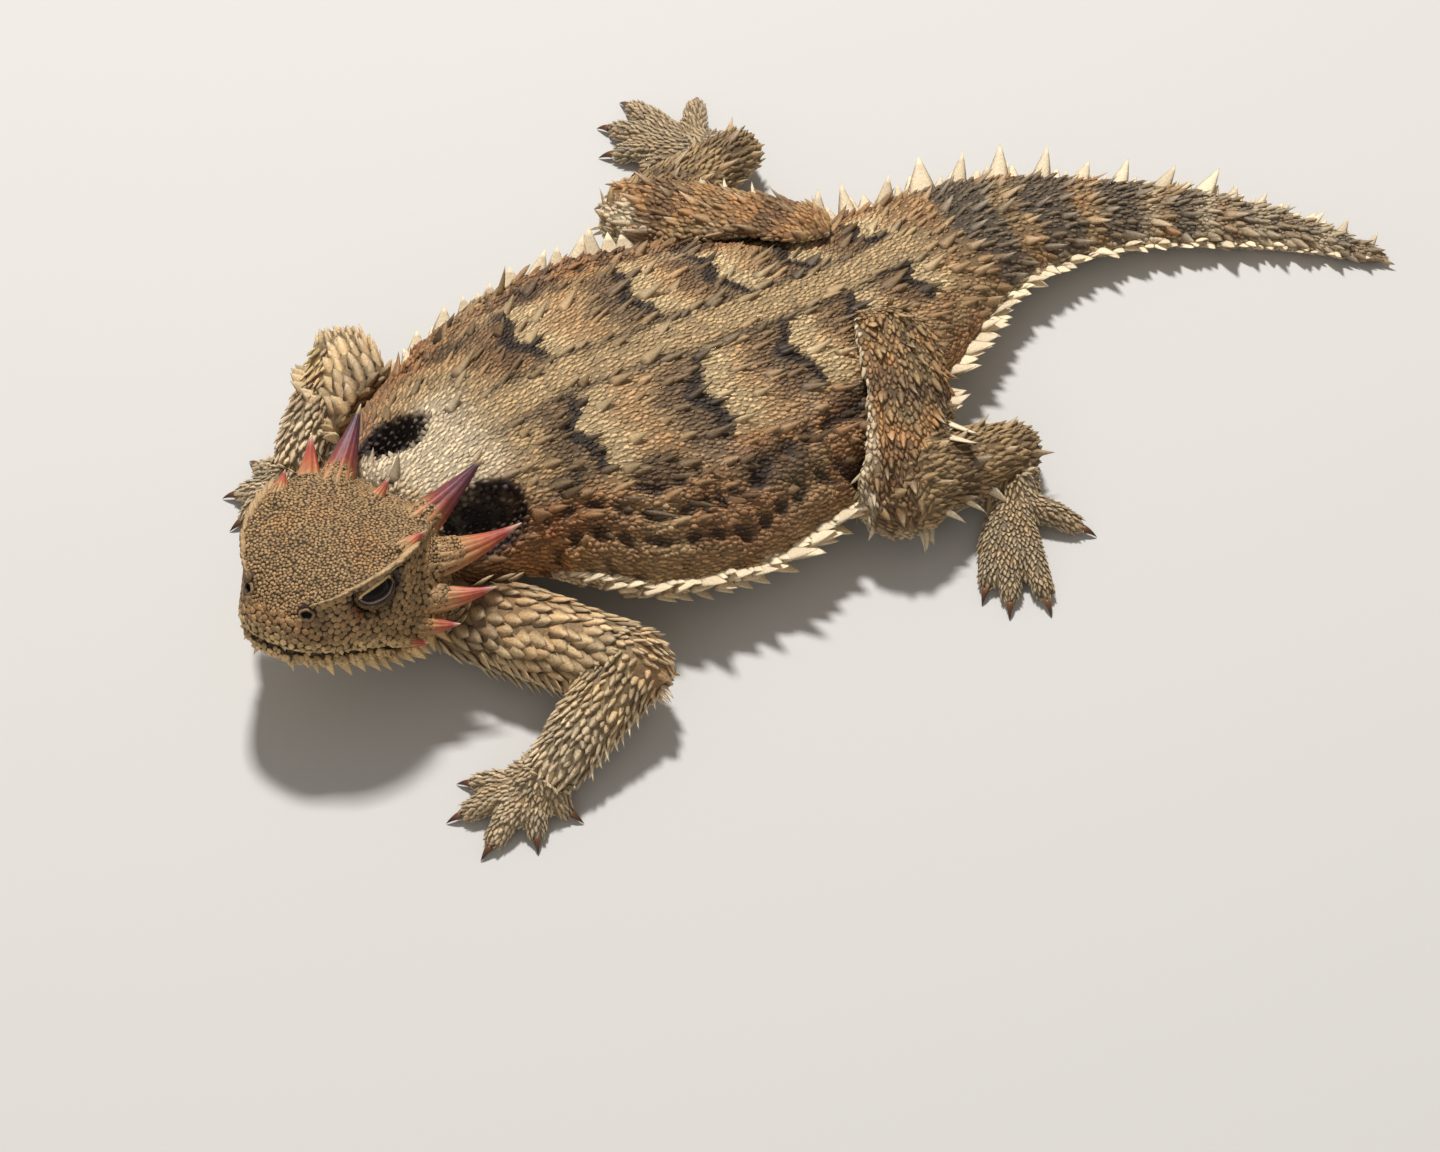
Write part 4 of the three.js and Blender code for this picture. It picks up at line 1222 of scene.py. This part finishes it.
def add_rim_scales(surface, coat):
    """A ledge of overlapping keeled scales along the rim of the crown, over the eye."""
    f = np.linspace(6.8, 18.2, 22)
    for side in (LEFT, RIGHT):
        x, z = crown_half(f) * side, crown_top(f)
        roots = from_head(np.column_stack([x - 0.1 * side, f, z]))
        along = -np.column_stack([np.gradient(x, f), np.ones(len(f)), np.gradient(z, f)])
        heading = unit(unit(along) + np.array((0.55 * side, 0, 0.05))) @ HEAD_AXES.T
        upward = unit(HEAD_AXES[:, 2] - heading * (heading @ HEAD_AXES[:, 2])[:, None])
        size = np.array((1.1, 1.5, 0.6))[:, None] * np.interp(f, (6, 12, 18), (1.2, 1.0, 0.6))
        surface.dress(coat, KEEL, roots, upward, seed=14 + side, directions=heading, zone=HEAD, paint=TAN,
                      size=list(size), lean=0.04, sink=0.02, tip=SAND, tip_share=0.5, spin=0.1)


def add_horn_collars(surface, coat):
    """Scales round each horn's root, pointing along the horn."""
    for number, (base, tip, radius) in enumerate(all_horns()):
        run = unit(tip - base)
        across = unit(np.cross(run, (0.0, 0.0, 1.0)))
        lift = np.cross(across, run)
        for share in (0.08, 0.17):
            count = int(radius * 8)
            angles = (np.arange(count) + 2 * share * 5) * 2 * math.pi / count
            spoke = np.cos(angles)[:, None] * across + np.sin(angles)[:, None] * lift
            places = base + (tip - base) * share + spoke * radius * (1.02 - 1.1 * share)
            heading = np.broadcast_to(run, spoke.shape) @ HEAD_AXES.T
            surface.dress(coat, FLAKE, from_head(places), spoke @ HEAD_AXES.T, seed=100 + number,
                          directions=heading, zone=HEAD, paint=TAN, size=(0.7, 1.1, 0.2), lean=0.0,
                          sink=0.05, tip=ORANGE, tip_share=0.5)


# Rows along the mouth: height over its line, count, size, lean back at the front and rear, lift, growth.
LIP_ROWS = [
    (0.55, 24, (0.95, 0.8, 0.25), (0.2, 0.6), 0.04, 0.0),
    (-0.6, 22, (1.05, 0.9, 0.3), (0.2, 0.8), 0.08, 0.2),
    (-1.5, 16, (1.4, 1.5, 0.5), (0.2, 1.4), 0.16, 0.5),
    (-2.3, 12, (1.5, 2.1, 0.9), (0.3, 2.2), 0.35, 0.9),
]
JAW_PLAN = ((3, 8, 12, 16, 19, 21.4), (11.6, 11.2, 9.8, 7.8, 5.4, 1.0))  # f and half width of the mouth


def add_lip_scales(surface, coat):
    """Serrated scales along both lips, and pointed shields under the edge of the jaw."""
    for number, (height, count, size, sweep, lean, growth) in enumerate(LIP_ROWS):
        for side in (LEFT, RIGHT):
            share = (np.arange(count) + 0.5) / count
            f = 21.2 - 17.0 * share
            x = np.interp(f, *JAW_PLAN) * side
            roots, normals = surface.nearest(from_head(np.column_stack([x, f, mouth_height(f) + height])))
            back = np.interp(share, (0, 1), sweep)[:, None]
            down = -HEAD_AXES[:, 2] - HEAD_AXES[:, 1] * back + HEAD_AXES[:, 0] * side * 0.3
            grown = [value * (1 + growth * (share - 0.4)) for value in size]
            surface.dress(coat, THORN if number == 3 else KEEL, roots, normals, seed=20 + number * 2 + side,
                          directions=unit(along_skin(down, normals)), zone=HEAD, paint=LIP_GOLD, size=grown,
                          lean=lean, sink=0.1, tip=CREAM, tip_share=0.4, rim_shade=0.75, spin=0.15,
                          mottle=0.3)


# Fringes along both side edges: first and last place on the spine, count, size, height over the edge,
# distance in from it, seed, rise, growth from first to last, and the left row's share of the size.
FRINGES = [
    (-22, 28, 17, (3.2, 4.4, 1.1), 0.6, 0.5, 50, 0.45, 0.6, 1.0),
    (-20, 26.5, 16, (2.4, 2.9, 0.8), 0.2, 0.3, 52, 0.1, 0.5, 1.0),
    (-24, 28, 56, (1.7, 1.7, 0.45), 1.0, 0.6, 54, 0.0, 0.2, 1.0),
    (-16, 24, 18, (2.0, 2.6, 0.7), -2.0, 1.0, 58, -0.2, 0.3, 1.0),
    (33, 79, 12, (2.9, 4.6, 1.3), 0.6, 0.6, 62, 0.3, -0.3, 0.7),
    (82, 95, 6, (1.4, 2.2, 0.8), 0.4, 0.4, 66, 0.3, -0.3, 1.0),
    (34, 92, 44, (2.1, 2.3, 0.7), 0.1, 0.4, 70, 0.1, -0.7, 1.0),
]


def add_fringe(surface, coat, first, last, count, size, lift, inset, seed, rise, growth, left):
    """Long flat scales along both side edges."""
    random = np.random.default_rng(SEED + seed)
    share = np.arange(count) / (count - 1)
    places = first + (last - first) * share
    half = np.interp(places, SPINE[:, 0], SPINE[:, 2]) - inset
    backward = np.array([spine_point(u + 1) - spine_point(u - 1) for u in places])
    for side in (LEFT, RIGHT):
        roots, _ = surface.nearest(np.array([spine_point(u, side * w, lift) for u, w in zip(places, half)]))
        outward = np.array([spine_point(u, side) - spine_point(u) for u in places])
        stray = random.uniform(-0.12, 0.12, (count, 3))
        heading = unit(outward + unit(backward) * 0.6 + (0, 0, rise) + stray)
        upward = unit(np.cross(np.cross(heading, (0, 0, 1.0)), heading))
        grow = (0.88 + 0.24 * random.random(count)) * (1 + growth * (share - 0.5))
        grow = grow * (left if side == LEFT else 1)
        surface.dress(coat, THORN, roots, upward, seed=seed + side, directions=heading, zone=BODY,
                      paint=CREAM, size=[value * grow for value in size], lean=0.1, sink=0.1, tip=CREAM,
                      tip_share=0.7, vary=0.2)


def coat_edges(surface):
    coat = new_coat("edge_scales", 0.55, 3500, 0.35, 0.15)
    for row in FRINGES:
        add_fringe(surface, coat, *row)
    coat.build()


def limb_row(surface, coat, limb, segment, shares, toward, size, heading, seed, paint=CREAM, sweep=0.9):
    """Pointed scales along one edge of a limb; toward is the side of the bone on which they stand."""
    a, b = (np.array(LIMBS[limb][segment + k], float) for k in range(2))
    shares = np.linspace(*shares)[:, None]
    roots, normals = surface.nearest(a + (b - a) * shares + unit(toward) * 5)
    pointing = np.broadcast_to(unit(unit(heading) + unit(b - a) * sweep), roots.shape)
    pointing = unit(along_skin(pointing, normals, 0.5))
    surface.dress(coat, THORN, roots, unit(along_skin(normals, pointing)), seed=seed + limb,
                  directions=pointing, zone=LIMB, paint=paint, size=size, lean=0.15, sink=0.1, tip=CREAM,
                  tip_share=0.6)


def add_throat_fan(surface, coat):
    """Pointed scales down each side of the throat."""
    share = np.linspace(0, 1, 7)[:, None]
    for side in (LEFT, RIGHT):
        start = from_head([(10.2 * side, 3.5, -4.2)])
        end = spine_point(-37, side * 10.5, -3.5)
        roots, normals = surface.nearest(start * (1 - share) + end * share)
        heading = unit(np.array((0.35 * side, 0.25, -1.0)) + normals * 0.5)
        surface.dress(coat, THORN, roots, unit(along_skin(normals, heading)), seed=98 + side,
                      directions=heading, zone=BODY, paint=LIP_GOLD, size=(1.5, 2.8, 0.9), lean=0.1,
                      sink=0.2, tip=SAND, tip_share=0.5)


def add_limb_rows(surface, coat):
    """Rows of pointed scales: segment, shares along it, side, size, heading, seed, then colour and sweep."""
    for limb, side in enumerate((LEFT, RIGHT)):
        front = np.array((0.25 * side, -0.8, -0.55))
        outer = np.array((side, 0.4, -0.1))
        for row in [
            (0, (0.2, 0.98, 15), front, (2.1, 2.5, 0.6), front, 70, CREAM, 2.4),
            (0, (0.25, 0.95, 12), front + (0, 0, 0.5), (2.2, 2.5, 0.5), front, 72, SAND, 2.8),
            (1, (0.0, 0.85, 10), outer, (1.4, 2.0, 0.7), outer, 74, CREAM, 1.2),
            (0, (0.85, 1.1, 5), outer, (1.5, 2.1, 0.7), outer, 76),
        ]:
            limb_row(surface, coat, limb, *row)
    for limb, side in ((2, LEFT), (3, RIGHT)):
        rear = np.array((0.4 * side, 0.9, 0.1))
        front = np.array((0.45 * side, -0.75, -0.3))
        outer = np.array((side, 0.0, -0.2))
        for row in [
            (0, (0.42, 0.78, 3), rear, (2.4, 4.0, 1.1), rear, 80),
            (0, (0.45, 1, 8), front, (1.6, 1.9, 0.6), front, 84),
            (0, (0.9, 1.1, 4), (side, 0, -0.6), (1.7, 2.4, 0.9), (side, 0.4, -0.5), 88),
            (1, (0.2, 0.64, 3), outer, (2.0, 3.0, 0.9), outer, 92),
        ]:
            limb_row(surface, coat, limb, *row)


def coat_spines(surface):
    """Large keeled thorns over the back, and rows of them on the limbs and the throat."""
    coat = new_coat("spines", 0.5, 3500, 0.35, 0.2)
    add_throat_fan(surface, coat)
    body = (surface.face_zone == BODY) & (surface.facing[:, 2] > 0.1)
    back = body & (surface.along < 44) & (np.abs(surface.share) < 0.8)
    back &= ~in_pockets(surface.centres, 1.1) & (np.abs(surface.left) > 1.6)
    surface.spread(coat, THORN, back, 3.5, 30, size=(1.4, 3.1, 1.0), lean=0.14, sink=0.15, tip=OLIVE,
                   tip_share=0.5, vary=0.4, rim_shade=0.8, glow=0.75)
    tail = body & (surface.along >= 44) & (surface.along < 90)
    surface.spread(coat, THORN, tail, 2.7, 31, size=(1.3, 2.4, 0.9), lean=0.22, sink=0.1, tip=CREAM,
                   tip_share=0.4, vary=0.35)
    thighs = (surface.face_zone == LIMB) & (surface.facing[:, 2] > 0.0) & (surface.centres[:, 1] > 0)
    surface.spread(coat, THORN, thighs, 3.4, 32, size=(1.2, 2.2, 0.8), lean=0.24, sink=0.1, tip=CREAM,
                   tip_share=0.5, vary=0.35)
    add_limb_rows(surface, coat)
    coat.build()


# Horns, claws, lids and eyes

def curved_cone(node, base, tip, radius, bend, colours, material, slot, around, groove=0.0, rows=26, seed=0):
    """A closed horn or claw on a bent axis. colours are (share, colour) from base to tip."""
    base, tip, bend = (np.asarray(value, float) for value in (base, tip, bend))
    middle = (base + tip) / 2 + bend
    angles = np.arange(around) * 2 * math.pi / around
    stops = [share for share, _ in colours]
    tints = np.array([colour for _, colour in colours])
    points, shades = [], []
    for t in np.arange(rows) / (rows - 1):
        centre = base * (1 - t) ** 2 + middle * 2 * t * (1 - t) + tip * t ** 2
        forward = unit((middle - base) * (1 - t) + (tip - middle) * t)
        sideways = unit(np.cross(forward, (0.0, 0.0, 1.0)))
        lift = np.cross(sideways, forward)
        flutes = np.abs(np.sin(angles * 5.5 + 0.8 * np.sin(angles * 2 + seed))) - 0.5
        size = radius * (1.0 - 0.98 * t ** 1.15) * (1 + groove * flutes * (1 - 0.7 * t))
        spokes = np.outer(np.cos(angles) * size, sideways) + np.outer(np.sin(angles) * size, lift)
        points.append(centre + spokes)
        at = np.clip(t + 0.07 * np.sin(angles * 5 + seed) * (1 - t), 0, 1)
        tint = np.column_stack([np.interp(at, stops, tints[:, k]) for k in range(3)])
        streak = 0.8 * (flutes[:, None] + 0.5) + 0.25 * np.sin(angles * 13 + 5 * t)[:, None]
        shades.append(tint * (0.5 + 0.75 * np.clip(streak, 0, 1)) if groove else tint)
    count = rows * around
    faces = tube_faces(rows, around, count, count + 1)
    piece = new_object(f"visual_{node}", np.vstack([*points, base, tip]), faces)
    set_colours(piece, np.clip(np.vstack([*shades, tints[0], tints[-1]]), 0, 1))
    hand_over(piece, material, [node])


# Colours of horns and claws from root to tip.
GREAT_HORN = [
    (0, TAN), (0.18, rgb(176, 116, 72)), (0.36, rgb(138, 66, 52)), (0.6, rgb(112, 58, 68)),
    (0.88, rgb(72, 42, 50)), (0.95, SAND), (1, CREAM),
]
SMALL_HORN = [
    (0, TAN), (0.3, rgb(190, 138, 92)), (0.55, rgb(180, 98, 64)), (0.8, rgb(160, 66, 58)),
    (0.93, rgb(200, 150, 130)), (1, CREAM),
]
CLAW = [(0, rgb(120, 84, 54)), (0.3, rgb(92, 60, 38)), (1, rgb(40, 25, 19))]
HORN_LOOK = {"slot": "horn", "groove": 0.26, "around": 36}


def add_horns():
    material = tinted_material("horn", 0.48, 1400, 0.35, 0.18)
    for number, (name, (base, tip, radius, bend)) in enumerate(HORNS.items()):
        tints = GREAT_HORN if name == "occipital_horn" else SMALL_HORN
        for side, label in SIDES:
            root, point = from_head([mirrored(base, side), mirrored(tip, side)])
            curved_cone(f"{name}_{label}", root, point, radius, HEAD_AXES[:, 2] * bend, tints, material,
                        seed=number * 2 + side, **HORN_LOOK)
    root, point = from_head(NAPE_HORN[:2])
    curved_cone("interoccipital_horn", root, point, NAPE_HORN[2], (0, 0, 0), SMALL_HORN, material,
                **HORN_LOOK)


def add_claws():
    material = tinted_material("claw", 0.35, 1400, 0.2, 0.15)
    for pad, joints in zip(PADS, LIMBS):
        for number in range(1, 6):
            name = f"{pad}_claw_{number}"
            points, _ = node_triangles([name])
            gaps = np.linalg.norm(points - np.array(joints[3], float), axis=1)
            tip = points[np.argmax(gaps)]
            root = points[gaps < gaps.min() + 0.6].mean(axis=0)
            curved_cone(name, root - unit(tip - root) * 0.5, tip, 0.5, (0, 0, 0.35), CLAW, material, "claw",
                        around=12, rows=10)


def lid_mesh(side):
    """Both lids of one eye as a closed, folded ring round the opening."""
    centre, out, along, up = eye_axes(side)
    angles = np.arange(LID_AROUND) * 2 * math.pi / LID_AROUND
    cos, sin = np.cos(angles), np.sin(angles)
    upper = sin > 0
    inner_up = np.where(upper, LID_HALF[1], -LID_HALF[2]) * np.abs(sin) ** 0.9
    outer_up = np.where(upper, LID_REACH[1], LID_REACH[2]) * sin
    points, tints = [], []
    for row in range(LID_FOLDS):
        t = row / (LID_FOLDS - 2) if row < LID_FOLDS - 1 else 1.0
        a = (LID_HALF[0] * (1 - t) + LID_REACH[0] * t) * cos
        b = inner_up * (1 - t) + outer_up * t
        bearing = np.arctan2(b, a)
        angle = np.hypot(a, b) / (EYE_RADIUS + 0.3)
        ridge = 0.5 - 0.5 * np.cos(t * np.where(sin < 0, 6, 2) * math.pi)
        depth = 0.1 + 0.16 * ridge * (1 - 0.3 * t) + 0.12 * t + 0.03 * np.sin(angles * 7 + 9 * t)
        if row == 0:
            depth = np.full(LID_AROUND, -0.12)
        if row == LID_FOLDS - 1:
            depth = np.full(LID_AROUND, -0.9)
        heading = (
            np.sin(angle)[:, None] * (np.cos(bearing)[:, None] * along + np.sin(bearing)[:, None] * up)
            + np.cos(angle)[:, None] * out
        )
        points.append(centre + heading * (EYE_RADIUS + depth)[:, None])
        tint = mix(LID_DARK, LID_PALE, ridge ** 2 * np.clip(1 - 2.0 * t, 0.1, 1))
        tint = np.where(upper[:, None] & (t < 0.35), LID_RIM, tint)
        tints.append(mix(tint, SNOUT_TAN * 0.4, step(0.7, 1.0, t)))
    faces = ring_quads(LID_FOLDS, LID_AROUND)
    return from_head(np.vstack(points)), faces if side == LEFT else faces[:, ::-1], np.vstack(tints)


def add_nostrils(surface):
    """A raised ring of skin round each nostril."""
    material = tinted_material("nostril_rim", 0.6, 5000, 0.4, 0.2)
    around, tube = 28, 12
    wide, thick, lifted = NOSTRIL_RING
    turns = [np.arange(count) * 2 * math.pi / count for count in (around, tube)]
    u, v = np.meshgrid(*turns, indexing="ij")
    reach = wide * (1 + 0.15 * np.cos(2 * u) + 0.06 * np.sin(5 * u)) + thick * np.cos(v)
    # Painted shade: the ring's inner side, facing the hole, is painted black.
    tint = mix(SNOUT_TAN * 0.75, BLACK, step(-0.2, 0.6, -np.cos(v)).reshape(-1))
    for side, label in SIDES:
        gap = from_nostril(surface.head, side)
        near = (gap > 1.0) & (gap < 1.7)
        outward = unit(surface.facing[near].mean(axis=0))
        across = unit(np.cross(outward, (0.0, 0.0, 1.0)))
        points = surface.centres[near].mean(axis=0) + lifted * outward + (
            (np.cos(u) * reach)[..., None] * across
            + (np.sin(u) * reach)[..., None] * np.cross(across, outward)
            + (np.sin(v) * thick)[..., None] * outward
        )
        rim = new_object(f"nostril_rim_{label}", points.reshape(-1, 3), ring_quads(around, tube))
        set_colours(rim, tint)
        hand_over(rim, material)


def add_eyes():
    lids = tinted_material("eyelids", 0.65, 6000, 0.6, 0.3)
    eye, _ = new_material("eye", EYE_LOOK)
    granules = Coat("eyelid_scales", lids)
    for side, label in SIDES:
        bpy.ops.mesh.primitive_uv_sphere_add(segments=48, ring_count=32, radius=EYE_RADIUS * MM)
        ball = bpy.context.object
        ball.name = f"visual_eye_{label}"
        ball.data.transform(Matrix.Translation(Vector(from_head(mirrored(EYE_CENTRE, side))) * MM))
        hand_over(ball, eye, [f"eye_{label}"])
        points, faces, tints = lid_mesh(side)
        lid = new_object(f"eyelids_{label}", points, faces)
        set_colours(lid, np.clip(tints, 0, 1))
        hand_over(lid, lids)
        add_lid_granules(granules, points, side)
    granules.build()


def add_lid_granules(coat, points, side):
    """Small granules in rings on the outer folds of the lids."""
    rings = points.reshape(LID_FOLDS, LID_AROUND, 3)
    centre, out, _, _ = eye_axes(side)
    for number, row in enumerate(LID_RINGS):
        places = rings[row, number % 2::2]
        normals = unit(places - from_head(centre))
        heading = unit(np.cross(normals, HEAD_AXES @ out))
        colours = np.broadcast_to(SNOUT_TAN * 0.55, places.shape)
        coat.add(DOME, places, normals, heading, colours, (0.34, 0.4, 0.12), lean=0.0, sink=0.03,
                 rim_shade=0.7, zone=HEAD, seed=130 + number, vary=0.3, mottle=0.4)


def add_camera():
    azimuth = math.radians(CAMERA_AZIMUTH)
    elevation = math.radians(CAMERA_ELEVATION)
    back = Vector((
        math.sin(azimuth) * math.cos(elevation),
        -math.cos(azimuth) * math.cos(elevation),
        math.sin(elevation),
    ))
    camera = bpy.data.objects.new("camera", bpy.data.cameras.new("camera"))
    bpy.context.scene.collection.objects.link(camera)
    camera.location = (Vector(CAMERA_TARGET) + back * CAMERA_DISTANCE) * MM
    camera.rotation_mode = "QUATERNION"
    camera.rotation_quaternion = (-back).to_track_quat("-Z", "Y")
    camera.data.sensor_width = SENSOR_WIDTH
    camera.data.lens = CAMERA_LENS
    camera.data.clip_start = 0.01
    camera.data.clip_end = 20
    bpy.context.scene.camera = camera


def add_area_light(name, place, size, power):
    light = bpy.data.objects.new(name, bpy.data.lights.new(name, "AREA"))
    light.data.size = size
    light.data.energy = power
    light.location = place
    light.rotation_mode = "QUATERNION"
    light.rotation_quaternion = (-Vector(place)).to_track_quat("-Z", "Y")
    bpy.context.scene.collection.objects.link(light)


def add_stage():
    bpy.ops.mesh.primitive_plane_add(size=6)
    floor = bpy.context.object
    floor.name = "floor"
    pale, _ = new_material("floor", {"Base Color": FLOOR_COLOUR, "Roughness": 0.9})
    floor.data.materials.append(pale)
    for light in LIGHTS:
        add_area_light(*light)
    world = bpy.data.worlds.new("world")
    world.use_nodes = True
    set_inputs(world.node_tree.nodes["Background"], {"Color": WORLD_COLOUR, "Strength": WORLD_STRENGTH})
    bpy.context.scene.world = world
    bpy.context.scene.view_settings.view_transform = "Standard"


add_camera()
add_stage()
surface = make_skin()
for add_coat in (coat_trunk, coat_tail, coat_limbs, coat_head, coat_edges, coat_spines):
    add_coat(surface)
add_horns()
add_claws()
add_nostrils(surface)
add_eyes()
